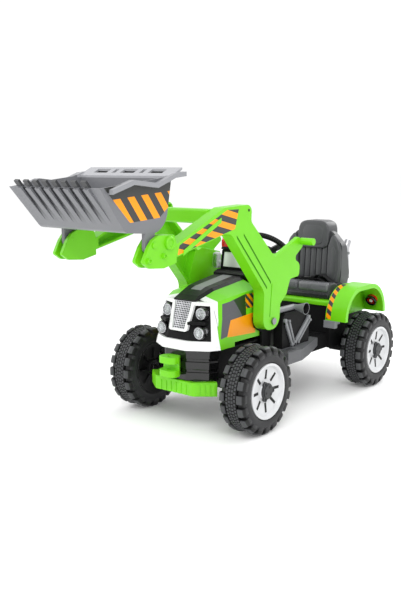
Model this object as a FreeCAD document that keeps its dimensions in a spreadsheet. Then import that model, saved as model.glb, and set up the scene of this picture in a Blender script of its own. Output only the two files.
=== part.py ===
"""Ride-on tractor toy with a front loader, in millimetres.

The origin lies on the ground under the middle of the plan box. +Z is up, the
tractor drives towards -Y, and +X is the driver's left. Lengths named "..._back"
are measured rearwards from the front axle, and heights from the ground.
"""
import FreeCAD, Part
import math
import os

import Sketcher

Vector = FreeCAD.Vector

SIZES = {
    # Layout and fits
    "overall_width": 540.0,
    "wheelbase": 698.0,
    "axle_setback": 124.253,
    "running_fit": 0.05,
    "side_play": 0.3,
    "overrun": 3.0,
    "wall": 4.0,
    # Wheels
    "tyre_radius": 134.0,
    "tread_radius": 126.0,
    "tyre_width": 91.0,
    "tyre_wall": 6.0,
    "lug_reach": 27.0,
    "lug_breadth": 24.0,
    "lug_spread": 26.0,
    "rim_radius": 84.0,
    "rim_wall": 5.0,
    "rim_lip": 7.0,
    "dish_depth": 9.0,
    "hub_radius": 24.0,
    "axle_radius": 6.0,
    "slot_length": 27.0,
    "slot_width": 8.0,
    "slot_start": 38.0,
    "cap_radius": 21.0,
    "cap_depth": 9.0,
    "lobe_reach": 33.0,
    "lobe_width": 17.0,
    "cap_hole": 4.5,
    # Front axle and steering
    "kingpin_inset": 74.5,
    "kingpin_radius": 6.0,
    "knuckle_radius": 12.0,
    "knuckle_height": 47.0,
    "beam_depth": 30.0,
    "beam_drop": 32.0,
    "fork_plate": 8.0,
    "fork_web_gap": 26.0,
    "axle_collar": 10.0,
    "steer_arm_length": 48.0,
    "steer_arm_width": 14.0,
    "steer_arm_thick": 8.0,
    "tie_pin_radius": 4.0,
    "tie_rod_depth": 14.0,
    "tie_rod_thick": 8.0,
    "tie_eye_radius": 16.0,
    "tie_slack_side": 1.6,
    "tie_slack_back": 6.0,
    "wheel_centre_back": 383.0,
    "wheel_centre_height": 500.0,
    "column_foot_back": 26.0,
    "column_foot_height": 145.0,
    "column_radius": 6.0,
    "crank_length": 38.0,
    "crank_slack_side": 5.0,
    "crank_slack_back": 14.0,
    "tie_hub_half": 26.0,
    "steering_radius": 83.0,
    "steering_grip": 9.0,
    "steering_hub": 30.0,
    "steering_hub_depth": 22.0,
    "spoke_width": 20.0,
    "spoke_thick": 8.0,
    "horn_radius": 15.0,
    "horn_height": 8.0,
    "horn_travel": 3.0,
    # Tub
    "floor_height": 150.0,
    "deck_height": 245.0,
    "step_height": 200.0,
    "tray_height": 300.0,
    "nose_back": -45.0,
    "dash_back": 152.0,
    "riser_back": 550.0,
    "tail_back": 790.0,
    "tub_front_side": 100.0,
    "deck_side": 122.0,
    "tub_mid_side": 138.0,
    "tub_rear_side": 150.0,
    "deck_thick": 5.0,
    "column_slot_side": 30.0,
    "column_slot_length": 90.0,
    # Nose
    "fascia_top": 386.0,
    "fascia_side": 125.0,
    "nose_corner": 20.0,
    "fascia_reach": 72.0,
    "fascia_top_side": 92.0,
    "fascia_top_reach": 24.0,
    "lamp_recess": 9.0,
    "window_bottom": 272.0,
    "window_rise": 104.0,
    "window_side": 106.0,
    "tongue_rise": 26.0,
    "tongue_side": 36.0,
    "tongue_top_side": 43.0,
    "window_top_side": 88.0,
    "lamp_radius": 18.5,
    "lamp_upper_side": 67.0,
    "lamp_upper_height": 352.0,
    "lamp_lower_side": 74.0,
    "lamp_lower_height": 297.0,
    "lamp_upper_proud": 26.0,
    "lamp_lower_proud": 44.0,
    "fin_height": 326.0,
    "fin_thick": 9.0,
    "fin_reach": 59.0,
    "grille_top_side": 35.0,
    "grille_bottom_side": 24.0,
    "grille_top": 392.0,
    "grille_bottom": 304.0,
    "grille_depth": 7.0,
    "grille_thick": 3.0,
    "bumper_side": 118.0,
    "bumper_reach": 63.0,
    "bumper_groove": 4.0,
    "bumper_groove_height": 9.0,
    "guard_bottom": 108.0,
    "guard_reach": 71.0,
    "guard_side": 132.0,
    "guard_thick": 16.0,
    "guard_rib_width": 4.0,
    "guard_rib_depth": 2.5,
    "guard_rib_pitch": 20.0,
    "hitch_side": 32.0,
    "hitch_reach": 50.0,
    "hitch_plate": 20.0,
    "hitch_gap": 21.0,
    "hitch_bottom": 165.0,
    "hitch_bore": 5.5,
    # Bonnet
    "bonnet_side": 126.0,
    "bonnet_wall": 4.0,
    "bonnet_step": 13.0,
    "bonnet_step_back": 24.0,
    "bonnet_rise": 187.0,
    "strip_thick": 9.0,
    "recess_back": 84.0,
    "recess_length": 56.0,
    "recess_height": 352.0,
    "recess_rise": 50.0,
    "recess_depth": 2.5,
    # Cockpit
    "cowl_top": 446.0,
    "cowl_side": 112.0,
    "cowl_length": 108.0,
    "hood_front_side": 60.0,
    "hood_side": 100.0,
    "screen_back": 234.0,
    "screen_depth": 8.0,
    "screen_side": 95.0,
    "screen_rise": 68.0,
    "screen_bar": 9.0,
    "pane_thick": 3.0,
    "beacon_side": 76.0,
    "beacon_radius": 15.0,
    "beacon_base": 9.0,
    "beacon_rise": 34.0,
    "mirror_width": 27.0,
    "mirror_rise": 56.0,
    "mirror_depth": 14.0,
    "mirror_gap": 6.0,
    "mirror_height": 446.0,
    "mirror_stem": 8.0,
    # Loader
    "pivot_back": 158.0,
    "pivot_height": 310.0,
    "arm_side": 134.0,
    "arm_thick": 40.0,
    "arm_reach": 458.0,
    "arm_rise": 369.0,
    "arm_corner": 20.0,
    "groove_width": 7.0,
    "groove_depth": 3.0,
    "bolt_radius": 6.0,
    "bolt_head": 11.0,
    "bolt_head_thick": 6.0,
    "post_thick": 8.0,
    "post_width": 46.0,
    "bracket_foot": 527.0,
    "grip_radius": 11.5,
    "grip_length": 48.0,
    "lever_plate": 14.0,
    "beam_height": 42.0,
    "beam_width": 40.0,
    "beam_corner": 8.0,
    "bracket_reach": 132.0,
    "bracket_rise": 87.0,
    "fork_gap": 20.0,
    "fork_depth": 92.0,
    "boss_radius": 12.0,
    "boss_thick": 5.0,
    "bucket_pin_radius": 4.0,
    "bucket_pin_head": 3.0,
    "bucket_pin_back": -388.0,
    "bucket_pin_height": 590.0,
    "bucket_lug": 18.0,
    "bucket_lug_thick": 12.0,
    # Bucket
    "bucket_bottom": 614.5,
    "bucket_rise": 123.0,
    "bucket_length": 253.0,
    "bucket_tail_back": -318.0,
    "bucket_bottom_side": 160.0,
    "bucket_top_side": 174.0,
    "bucket_wall": 5.0,
    "bucket_lip": 44.0,
    "bucket_back_rise": 150.0,
    "bucket_flange": 42.0,
    "bucket_flange_thick": 6.0,
    "bucket_flange_lift": 22.0,
    "rim_flange_width": 20.0,
    "rim_flange_thick": 12.0,
    "flute_pitch": 36.0,
    "flute_width": 17.0,
    "flute_depth": 3.0,
    "flute_length": 118.0,
    "plate_rib": 6.0,
    "tooth_width": 18.0,
    "tooth_length": 30.0,
    "tooth_thick": 7.0,
    # Sides
    "foot_back": 176.0,
    "foot_length": 262.0,
    "foot_side": 222.0,
    "foot_top": 209.0,
    "foot_drop": 37.0,
    "tread_rise": 2.0,
    "tread_margin": 6.0,
    "engine_depth": 34.0,
    "engine_back": 215.0,
    "engine_length": 160.0,
    "engine_rise": 114.0,
    "engine_rib": 5.0,
    "pipe_radius": 10.0,
    "pipe_bore": 7.0,
    "pipe_back": 206.0,
    "pipe_length": 96.0,
    "mouth_radius": 20.0,
    "mouth_reach": 34.0,
    "pedal_side": 183.5,
    "pedal_width": 25.0,
    "pedal_back": 262.0,
    "pedal_length": 72.0,
    "pedal_thick": 6.0,
    "pedal_rise": 18.0,
    "pedal_pin": 4.0,
    "pedal_lift": 7.0,
    "pedal_ear": 5.0,
    "lever_side": 100.0,
    "lever_back": 330.0,
    "lever_radius": 5.0,
    "lever_length": 95.0,
    "lever_knob": 12.0,
    "lever_hub": 9.0,
    "lever_hub_width": 16.0,
    "lever_cheek": 6.0,
    # Seat and rear
    "tray_side": 155.0,
    "tray_thick": 18.0,
    "tray_front_back": 545.0,
    "tray_length": 252.0,
    "tray_corner": 8.0,
    "seat_front_back": 575.0,
    "seat_length": 94.0,
    "seat_side": 132.0,
    "seat_rise": 57.0,
    "seat_top_drop": 9.0,
    "seat_corner": 14.0,
    "backrest_back": 671.0,
    "backrest_depth": 66.0,
    "backrest_side": 120.0,
    "backrest_rise": 236.0,
    "backrest_lean": 16.0,
    "flute_groove": 5.0,
    "headrest_side": 68.0,
    "headrest_depth": 48.0,
    "headrest_bottom": 490.0,
    "headrest_rise": 98.0,
    "belt_width": 34.0,
    "belt_thick": 2.0,
    "belt_back": 633.0,
    "buckle_width": 52.0,
    "buckle_depth": 40.0,
    "buckle_thick": 13.0,
    "guard_arch_back": 660.0,
    "guard_arch_span": 296.0,
    "guard_arch_top": 371.0,
    "guard_arch_foot": 257.0,
    "guard_arch_width": 80.0,
    "guard_arch_thick": 16.0,
    "guard_wall_thick": 4.0,
    "tail_lamp_radius": 20.0,
    "tail_lamp_length": 40.0,
    "tail_lamp_hub_height": 225.0,
    "tail_lamp_start": 131.0,
    "tail_lamp_side": 196.0,
    "stay_width": 46.0,
    "stay_length": 36.0,
    "stay_drop": 26.0,
    "stay_back": 508.0,
    "stack_side": 86.0,
    "stack_back": 768.0,
    "stack_radius": 13.0,
    "stack_bore": 10.0,
    "stack_rise": 172.0,
    "stack_bend": 26.0,
    # Inside
    "battery_width": 150.0,
    "battery_depth": 66.0,
    "battery_height": 95.0,
    "battery_back": 575.0,
    "gearbox_radius": 40.0,
    "gearbox_thick": 25.0,
    "motor_radius": 16.0,
    "motor_length": 62.0,
    "motor_offset": 30.0,
}

LUG_COUNT = 20
SLOT_COUNT = 8
LOBE_COUNT = 3
FLUTE_COUNT = 8
GUARD_RIB_COUNT = 6
SPOKE_COUNT = 3
TAIL_LAMP_TILT_DEG = 33.0
LUG_TAPER_DEG = 14.0
MIRROR_TAPER_DEG = 10.0
FLUTE_FADE_DEG = 1.4

# Shares of the named sizes that shape the outlines
NOSE_FOOT_SHARES = (0.864, 0.46, 0.36)
NOSE_TOP_SHARES = (0.891, 0.29, 0.435)
LENS_SHARE = 0.8
FIN_TIP_SHARE = 0.56
BUMPER_GROOVE_SHARES = (0.28, 0.62)
GUARD_BEND_SHARE = 0.57
GUARD_TIP_SHARE = 0.35
HITCH_BOW_SHARE = 0.6
BONNET_SHARES = (
    (0.0, (0.992, 0.889, 0.455, 0.746, 0.743, 0.381, 0.791)),
    (0.28, (1.0, 0.96, 0.545, 0.905, 0.813, 0.437, 0.893)),
    (0.635, (1.0, 0.984, 0.577, 0.937, 0.856, 0.476, 0.947)),
    (1.0, (1.0, 1.0, 0.588, 0.952, 0.882, 0.492, 1.0)),
)
STRIP_LIP_SHARE = 0.83
RECESS_SHARE = 0.7
COWL_SHARES = ((0.0, 0.0), (0.5, 0.0), (0.58, 0.25), (1.0, 0.82), (0.0, 0.82))
HOOD_BEND_SHARE = 0.66
SCREEN_TOP_SHARE = 0.93
BEACON_TOP_SHARE = 0.7
MIRROR_STEM_SHARE = 0.35
MIRROR_LEAN_SHARE = 0.09
ARM_SHARES = (
    (-1.0, 0.748), (-0.548, 0.986, 1.5), (-0.258, 1.0, 1.1), (-0.266, 0.862, 1.0), (0.011, 0.545, 0.75),
    (0.310, 0.694, 0.4), (0.367, 0.607, 0.4), (0.245, 0.507, 0.6), (0.328, 0.455, 1.0), (0.319, 0.347, 0.6),
    (0.205, 0.333, 0.5), (0.162, 0.211), (0.087, 0.136), (0.074, -0.070, 2.0), (-0.118, -0.070, 1.75),
    (-0.109, 0.266, 2.0), (-0.493, 0.797, 2.25), (-1.0, 0.656),
)
ARM_HOLLOW_SHARES = (
    ((-0.978, 0.740), (-0.640, 0.919), (-0.640, 0.778), (-0.978, 0.680)),
    ((-0.476, 0.802), (-0.476, 0.965), (-0.279, 0.976), (-0.284, 0.851), (-0.017, 0.542), (-0.100, 0.293)),
)
ARM_THIN_SHARES = ((0.020, 0.576), (0.300, 0.506), (0.450, 0.600), (0.450, 0.800), (0.200, 0.800), (0.020, 0.600))
RIB_SHARES = ((-0.945, 0.680), (-0.587, 0.894))
GRIP_SHARES = (0.336, 0.650)
GROOVE_SHARES = (((-0.347, 0.762), (-0.033, 0.331)), ((-0.421, 0.751), (-0.079, 0.295)))
BEAM_SHARES = (-0.568, 0.916)
BRACKET_SHARES = (
    (0.0, 0.12), (0.38, 0.0), (0.80, 0.05, 0.8), (0.985, 0.24, 0.6), (0.83, 0.667), (0.70, 0.885),
    (0.53, 1.0), (0.08, 0.98), (0.0, 0.72),
)
POST_SHARES = (
    (-0.065, 0.0), (1.02, 0.0), (1.02, 0.909), (0.70, 1.318), (-0.61, 1.318), (-1.0, 1.09), (-0.83, 0.818),
    (-0.065, 0.636),
)
BUCKET_SHARES = ((-1.0, 1.0), (-0.632, 0.093), (-0.05, 0.0), (0.0, 1.22))
BUCKET_CORNER_SHARES = (0.2, 0.45)
BUCKET_INSET_SHARES = ((0.767, 0.642), (0.497, 0.964), (-0.917, 1.075), (-1.0, 1.0))
LUG_ROOT_SHARE = 1.6
TOOTH_START_SHARE = 0.65
RIM_SHARES = ((-0.897, 0.980), (-0.601, 1.159), (-0.265, 1.085), (0.0, 1.28), (0.166, 1.313))
FLANGE_SLOT_SHARES = ((-0.6, 0.3), (0.0, 0.3), (0.6, 0.3), (-0.3, 0.08), (0.3, 0.08))
FLANGE_SLOT_SPAN_SHARES = (0.25, 0.75)
FOOT_BEVEL_SHARES = (0.31, 0.38)
FOOT_SLOPE_SHARES = (0.5, 0.25)
ENGINE_SHARES = ((0.0, 0.0), (1.0, 0.0), (1.0, 0.82), (0.85, 1.0), (0.1, 1.0), (0.0, 0.85))
STRUT_SHARES = (((0.35, 0.10), (0.06, 0.78)), ((0.43, 0.12), (0.93, 0.70)))
BACKREST_SHARES = ((0.9, 0.0, 0.0), (1.0, 0.3, 0.3), (0.98, 0.78, 0.3), (0.62, 1.0, 0.3))
BACKREST_DEPTH_SHARES = (0.8, 0.35, 0.55)
BACK_FLUTE_SHARES = (-0.5, -0.25, 0.0, 0.25, 0.5)
HEADREST_TOP_SHARE = 0.85
ARCH_BOW_SHARE = 0.743
STAY_STEP_SHARE = 0.5

doc = FreeCAD.newDocument("LoaderTractor")
sheet = doc.addObject("Spreadsheet::Sheet", "Sizes")
for row, (name, value) in enumerate(SIZES.items(), start=1):
    sheet.set("A%d" % row, name)
    sheet.set("B%d" % row, str(value))
    sheet.setAlias("B%d" % row, name)
doc.recompute()

NODES = {}


class Size:
    """A length, held both as a number and as an expression on the sheet."""

    def __init__(self, value, text):
        self.value = float(value)
        self.text = text

    def __float__(self):
        return self.value

    def __neg__(self):
        return Size(-self.value, "(-%s)" % self.text)

    def __add__(self, other):
        other = as_size(other)
        return Size(self.value + other.value, "(%s + %s)" % (self.text, other.text))

    def __radd__(self, other):
        return as_size(other) + self

    def __sub__(self, other):
        other = as_size(other)
        return Size(self.value - other.value, "(%s - %s)" % (self.text, other.text))

    def __rsub__(self, other):
        return as_size(other) - self

    def __mul__(self, share):
        share = as_size(share)
        return Size(self.value * share.value, "(%s * %s)" % (self.text, share.text))

    def __rmul__(self, share):
        return self * share

    def __truediv__(self, share):
        share = as_size(share)
        return Size(self.value / share.value, "(%s / %s)" % (self.text, share.text))


def as_size(item):
    """Read a plain number, such as zero or a share, as a Size."""
    if isinstance(item, Size):
        return item
    return Size(item, "(%.6f)" % item)


class Names:
    """Gives each named cell of the sheet as a Size."""

    def __getattr__(self, name):
        return Size(sheet.get(name), "Sizes." + name)


S = Names()
ZERO = as_size(0)
FRONT = -S.axle_setback
REAR = FRONT + S.wheelbase
TRACK = (S.overall_width - S.tyre_width) / 2
KINGPIN = TRACK - S.kingpin_inset
AXLE = S.tyre_radius
LEFT = Vector(1, 0, 0)
BACKWARD = Vector(0, 1, 0)
FORWARD = Vector(0, -1, 0)
UP = Vector(0, 0, 1)


def bind(thing, prop, size):
    """Tie a property of an object to its named size."""
    thing.setExpression(prop, as_size(size).text)


def place(thing, across=ZERO, along=ZERO, up=ZERO):
    """Tie an object's place to named sizes."""
    bind(thing, "Placement.Base.x", across)
    bind(thing, "Placement.Base.y", along)
    bind(thing, "Placement.Base.z", up)
    return thing


def node(label, thing):
    """Name a finished piece."""
    thing.Label = label
    NODES[label] = thing
    return thing


# Sketches and solid features

def new_body(name):
    """Start a body."""
    return doc.addObject("PartDesign::Body", name)


def datum(body, role):
    """Find an origin plane or axis of a body by its role."""
    return next(part for part in body.Origin.OriginFeatures if part.Role == role)


def new_sketch(body, role, offset):
    """Start a sketch on an origin plane, moved along its normal."""
    sketch = body.newObject("Sketcher::SketchObject", body.Name + "Sketch")
    sketch.AttachmentSupport = (datum(body, role), [""])
    sketch.MapMode = "FlatFace"
    bind(sketch, "AttachmentOffset.Base.z", offset)
    return sketch


def bend_of(before, spot, after):
    """Find where a rounded corner starts, has its centre and ends, as shares of its radius."""
    inward = (before - spot).normalize()
    outward = (after - spot).normalize()
    half = math.acos(max(-1.0, min(1.0, inward.dot(outward)))) / 2
    middle = (inward + outward).normalize()
    return [inward / math.tan(half), middle / math.sin(half), outward / math.tan(half)]


def outline(body, role, corners, offset=ZERO):
    """Draw a closed outline of straight sides.

    A corner is (across, up) or, with a rounding, (across, up, radius).
    """
    sketch = new_sketch(body, role, offset)
    count = len(corners)
    spots = [Vector(float(corner[0]), float(corner[1]), 0) for corner in corners]
    stops = []
    for index, corner in enumerate(corners):
        if len(corner) == 2:
            stops.append([corner])
            continue
        bends = bend_of(spots[index - 1], spots[index], spots[(index + 1) % count])
        stops.append([(corner[0] + corner[2] * bend.x, corner[1] + corner[2] * bend.y) for bend in bends])
    marks = [[Vector(float(stop[0]), float(stop[1]), 0) for stop in row] for row in stops]
    lines = []
    for index in range(count):
        side = Part.LineSegment(marks[index][-1], marks[(index + 1) % count][0])
        lines.append(sketch.addGeometry(side, False))
    rules = []
    driven = []
    for index in range(count):
        before = lines[index - 1]
        after = lines[index]
        if len(corners[index]) == 2:
            rules.append(Sketcher.Constraint("Coincident", before, 2, after, 1))
        else:
            centre = marks[index][1]
            spans = [math.atan2(mark.y - centre.y, mark.x - centre.x) for mark in marks[index][::2]]
            swing = (spots[index] - spots[index - 1]).cross(spots[(index + 1) % count] - spots[index]).z
            first, last = (1, 2) if swing > 0 else (2, 1)
            ring = Part.Circle(centre, UP, float(corners[index][2]))
            arc = sketch.addGeometry(Part.ArcOfCircle(ring, spans[first - 1], spans[last - 1]), False)
            rules.append(Sketcher.Constraint("Coincident", before, 2, arc, first))
            rules.append(Sketcher.Constraint("Coincident", arc, last, after, 1))
            driven.append((len(rules), corners[index][2]))
            rules.append(Sketcher.Constraint("Radius", arc, float(corners[index][2])))
            for kind, size in zip(("DistanceX", "DistanceY"), stops[index][0]):
                driven.append((len(rules), size))
                rules.append(Sketcher.Constraint(kind, -1, 1, before, 2, float(size)))
        for kind, size in zip(("DistanceX", "DistanceY"), stops[index][-1]):
            driven.append((len(rules), size))
            rules.append(Sketcher.Constraint(kind, -1, 1, after, 1, float(size)))
    sketch.addConstraint(rules)
    for index, size in driven:
        bind(sketch, "Constraints[%d]" % index, size)
    return sketch


def rounds(body, role, circles, offset=ZERO):
    """Draw circles, each (across, up, radius)."""
    sketch = new_sketch(body, role, offset)
    for across, up, radius in circles:
        centre = Vector(float(across), float(up), 0)
        ring = sketch.addGeometry(Part.Circle(centre, UP, float(radius)), False)
        for kind, size in (("DistanceX", across), ("DistanceY", up)):
            rule = sketch.addConstraint(Sketcher.Constraint(kind, -1, 1, ring, 3, float(size)))
            bind(sketch, "Constraints[%d]" % rule, size)
        rule = sketch.addConstraint(Sketcher.Constraint("Radius", ring, float(radius)))
        bind(sketch, "Constraints[%d]" % rule, radius)
    return sketch


def owner(sketch):
    """The body that a sketch or feature is in."""
    return sketch.getParentGeoFeatureGroup()


def pad(sketch, length, back=False, taper=0.0):
    """Raise a sketch along its normal, or against it."""
    feature = owner(sketch).newObject("PartDesign::Pad", "Pad")
    feature.Profile = sketch
    feature.Reversed = back
    feature.TaperAngle = taper
    bind(feature, "Length", length)
    return feature


def pocket(sketch, depth, along_normal=False):
    """Cut a sketch into its body, and make sure that it removed something."""
    body = owner(sketch)
    doc.recompute()
    before = body.Shape.Volume
    feature = body.newObject("PartDesign::Pocket", "Pocket")
    feature.Profile = sketch
    feature.Reversed = along_normal
    bind(feature, "Length", depth)
    doc.recompute()
    if not body.Shape.Volume < before:
        raise ValueError("A cut removed nothing from " + body.Name)
    return feature


def revolve(sketch):
    """Turn a sketch right round its horizontal axis."""
    feature = owner(sketch).newObject("PartDesign::Revolution", "Revolution")
    feature.Profile = sketch
    feature.ReferenceAxis = (sketch, ["H_Axis"])
    feature.Angle = 360
    return feature


def loft(sketches, cut=False):
    """Join sketches by straight-ruled faces, as a solid or as a cut."""
    body = owner(sketches[0])
    kind = "PartDesign::SubtractiveLoft" if cut else "PartDesign::AdditiveLoft"
    feature = body.newObject(kind, "Loft")
    feature.Profile = sketches[0]
    feature.Sections = sketches[1:]
    feature.Ruled = True
    return feature


def repeat_round(feature, count):
    """Repeat a feature right round its body's X axis."""
    body = owner(feature)
    doc.recompute()
    pattern = body.newObject("PartDesign::PolarPattern", "Pattern")
    pattern.Originals = [feature]
    pattern.Axis = (datum(body, "X_Axis"), [""])
    pattern.Angle = 360
    pattern.Occurrences = count
    body.Tip = pattern
    doc.recompute()
    return pattern


def repeat_across(feature, pitch, count):
    """Repeat a feature along its body's X axis."""
    body = owner(feature)
    doc.recompute()
    pattern = body.newObject("PartDesign::LinearPattern", "Pattern")
    pattern.Originals = [feature]
    pattern.Direction = (datum(body, "X_Axis"), [""])
    pattern.Occurrences = count
    bind(pattern, "Length", pitch * (count - 1))
    body.Tip = pattern
    doc.recompute()
    return pattern


# Plain solids and how they are joined

def block(across, along, up):
    """A box between three pairs of faces."""
    solid = doc.addObject("Part::Box", "Block")
    bind(solid, "Length", across[1] - across[0])
    bind(solid, "Width", along[1] - along[0])
    bind(solid, "Height", up[1] - up[0])
    return place(solid, across[0], along[0], up[0])


def rod(direction, radius, length, across=ZERO, along=ZERO, up=ZERO):
    """A cylinder that starts at a place and runs along a direction."""
    solid = doc.addObject("Part::Cylinder", "Rod")
    bind(solid, "Radius", radius)
    bind(solid, "Height", length)
    solid.Placement.Rotation = FreeCAD.Rotation(UP, direction)
    return place(solid, across, along, up)


def cone(direction, first, last, length, across=ZERO, along=ZERO, up=ZERO):
    """A cone frustum that starts at a place and runs along a direction."""
    solid = doc.addObject("Part::Cone", "Cone")
    bind(solid, "Radius1", first)
    bind(solid, "Radius2", last)
    bind(solid, "Height", length)
    solid.Placement.Rotation = FreeCAD.Rotation(UP, direction)
    return place(solid, across, along, up)


def fuse(*solids):
    """Join solids into one."""
    joined = doc.addObject("Part::MultiFuse", "Joined")
    joined.Shapes = list(solids)
    joined.Refine = True
    return joined


def cut(base, *tools):
    """Take tools away from a base."""
    result = base
    for tool in tools:
        part = doc.addObject("Part::Cut", "Trimmed")
        part.Base = result
        part.Tool = tool
        part.Refine = True
        result = part
    return result


def common(first, second):
    """Keep what two solids share."""
    shared = doc.addObject("Part::Common", "Shared")
    shared.Base = first
    shared.Tool = second
    shared.Refine = True
    return shared


def group(*solids):
    """Keep separate solids together as one piece."""
    pair = doc.addObject("Part::Compound", "Group")
    pair.Links = list(solids)
    return pair


def mirrored(source):
    """The right-hand twin of a left-hand piece."""
    twin = doc.addObject("Part::Mirroring", "Twin")
    twin.Source = source
    twin.Normal = Vector(1, 0, 0)
    return twin


def shifted(source, across=ZERO, along=ZERO, up=ZERO):
    """A copy of a piece at another place."""
    copy = group(source)
    return place(copy, across, along, up)


# Wheels, drawn about the X axis with the outside towards +X

def tyre():
    """A hollow moulded tyre with chunky lugs on both shoulders."""
    body = new_body("Tyre")
    half = S.tyre_width / 2
    side_shares = (1.0, 0.94, 0.62)
    bead = S.rim_radius + S.side_play
    shoulder = S.tread_radius - S.tyre_wall
    inner = S.tread_radius - S.tyre_wall
    profile = [
        (half * side_shares[1], bead),
        (half * side_shares[0], bead + S.tyre_wall),
        (half * side_shares[1], shoulder),
        (half * side_shares[2], S.tread_radius),
        (-half * side_shares[2], S.tread_radius),
        (-half * side_shares[1], shoulder),
        (-half * side_shares[0], bead + S.tyre_wall),
        (-half * side_shares[1], bead),
        (-half * side_shares[1] + S.tyre_wall, bead),
        (-half * side_shares[1] + S.tyre_wall, inner - S.tyre_wall),
        (-half * side_shares[2] + S.tyre_wall, inner),
        (half * side_shares[2] - S.tyre_wall, inner),
        (half * side_shares[1] - S.tyre_wall, inner - S.tyre_wall),
        (half * side_shares[1] - S.tyre_wall, bead),
    ]
    revolve(outline(body, "XY_Plane", profile))
    lugs = []
    for side in (1, -1):
        across = S.lug_spread * side
        reach = S.lug_reach / 2
        breadth = S.lug_breadth / 2
        corners = [
            (across - reach, -breadth),
            (across + reach, -breadth),
            (across + reach, breadth),
            (across - reach, breadth),
        ]
        root = S.tread_radius - S.tyre_wall
        lug = pad(outline(body, "XZ_Plane", corners, root), S.tyre_radius - root, taper=-LUG_TAPER_DEG)
        lugs.append(lug)
    doc.recompute()
    pattern = body.newObject("PartDesign::PolarPattern", "Lugs")
    pattern.Originals = lugs
    pattern.Axis = (datum(body, "X_Axis"), [""])
    pattern.Angle = 360
    pattern.Occurrences = LUG_COUNT
    body.Tip = pattern
    return body


def rim():
    """A dished rim with a barrel, a hub tube and radial slots."""
    body = new_body("Rim")
    half = S.tyre_width / 2
    inside = -half + S.tyre_wall
    face = half - S.dish_depth
    bore = S.axle_radius + S.running_fit
    profile = [
        (inside, S.rim_radius),
        (half, S.rim_radius),
        (half, S.rim_radius - S.rim_lip),
        (face, S.rim_radius - S.rim_lip - S.rim_wall),
        (face - S.rim_wall, S.hub_radius + S.rim_wall),
        (face, S.hub_radius),
        (face, bore),
        (inside, bore),
        (inside, S.hub_radius),
        (face - S.rim_wall * 2, S.hub_radius),
        (face - S.rim_wall, S.rim_radius - S.rim_wall),
        (inside, S.rim_radius - S.rim_wall),
    ]
    revolve(outline(body, "XY_Plane", profile))
    slot = [
        (S.slot_start, -S.slot_width / 2),
        (S.slot_start + S.slot_length, -S.slot_width / 2),
        (S.slot_start + S.slot_length, S.slot_width / 2),
        (S.slot_start, S.slot_width / 2),
    ]
    sketch = outline(body, "YZ_Plane", slot, half)
    repeat_round(pocket(sketch, S.dish_depth + S.rim_wall * 3), SLOT_COUNT)
    return body


def hub_cap():
    """A three-lobed cap that covers the end of the axle."""
    body = new_body("HubCap")
    face = S.tyre_width / 2 - S.dish_depth
    pad(rounds(body, "YZ_Plane", [(ZERO, ZERO, S.cap_radius)], face), S.cap_depth)
    lobe = [
        (ZERO, -S.lobe_width / 2),
        (S.lobe_reach, -S.lobe_width / 2, S.lobe_width / 3),
        (S.lobe_reach, S.lobe_width / 2, S.lobe_width / 3),
        (ZERO, S.lobe_width / 2),
    ]
    arm = pad(outline(body, "YZ_Plane", lobe, face), S.cap_depth - S.rim_wall / 2)
    repeat_round(arm, LOBE_COUNT)
    hole = rounds(body, "YZ_Plane", [(S.lobe_reach - S.lobe_width / 2, ZERO, S.cap_hole)], face + S.cap_depth)
    repeat_round(pocket(hole, S.cap_depth - S.rim_wall / 2), LOBE_COUNT)
    recess = rounds(body, "YZ_Plane", [(ZERO, ZERO, S.axle_radius * 2)], face)
    pocket(recess, S.cap_depth / 2, along_normal=True)
    return body


def wheels():
    """Four alike wheels, each a tyre, a rim and a cap."""
    for part, shape in (("tyre", tyre()), ("rim", rim()), ("hub_cap", hub_cap())):
        for end, along in (("front", FRONT), ("rear", REAR)):
            near = shifted(shape, TRACK, along, AXLE)
            node("%s_left_%s" % (end, part), near)
            node("%s_right_%s" % (end, part), mirrored(near))


# Front axle and steering

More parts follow.
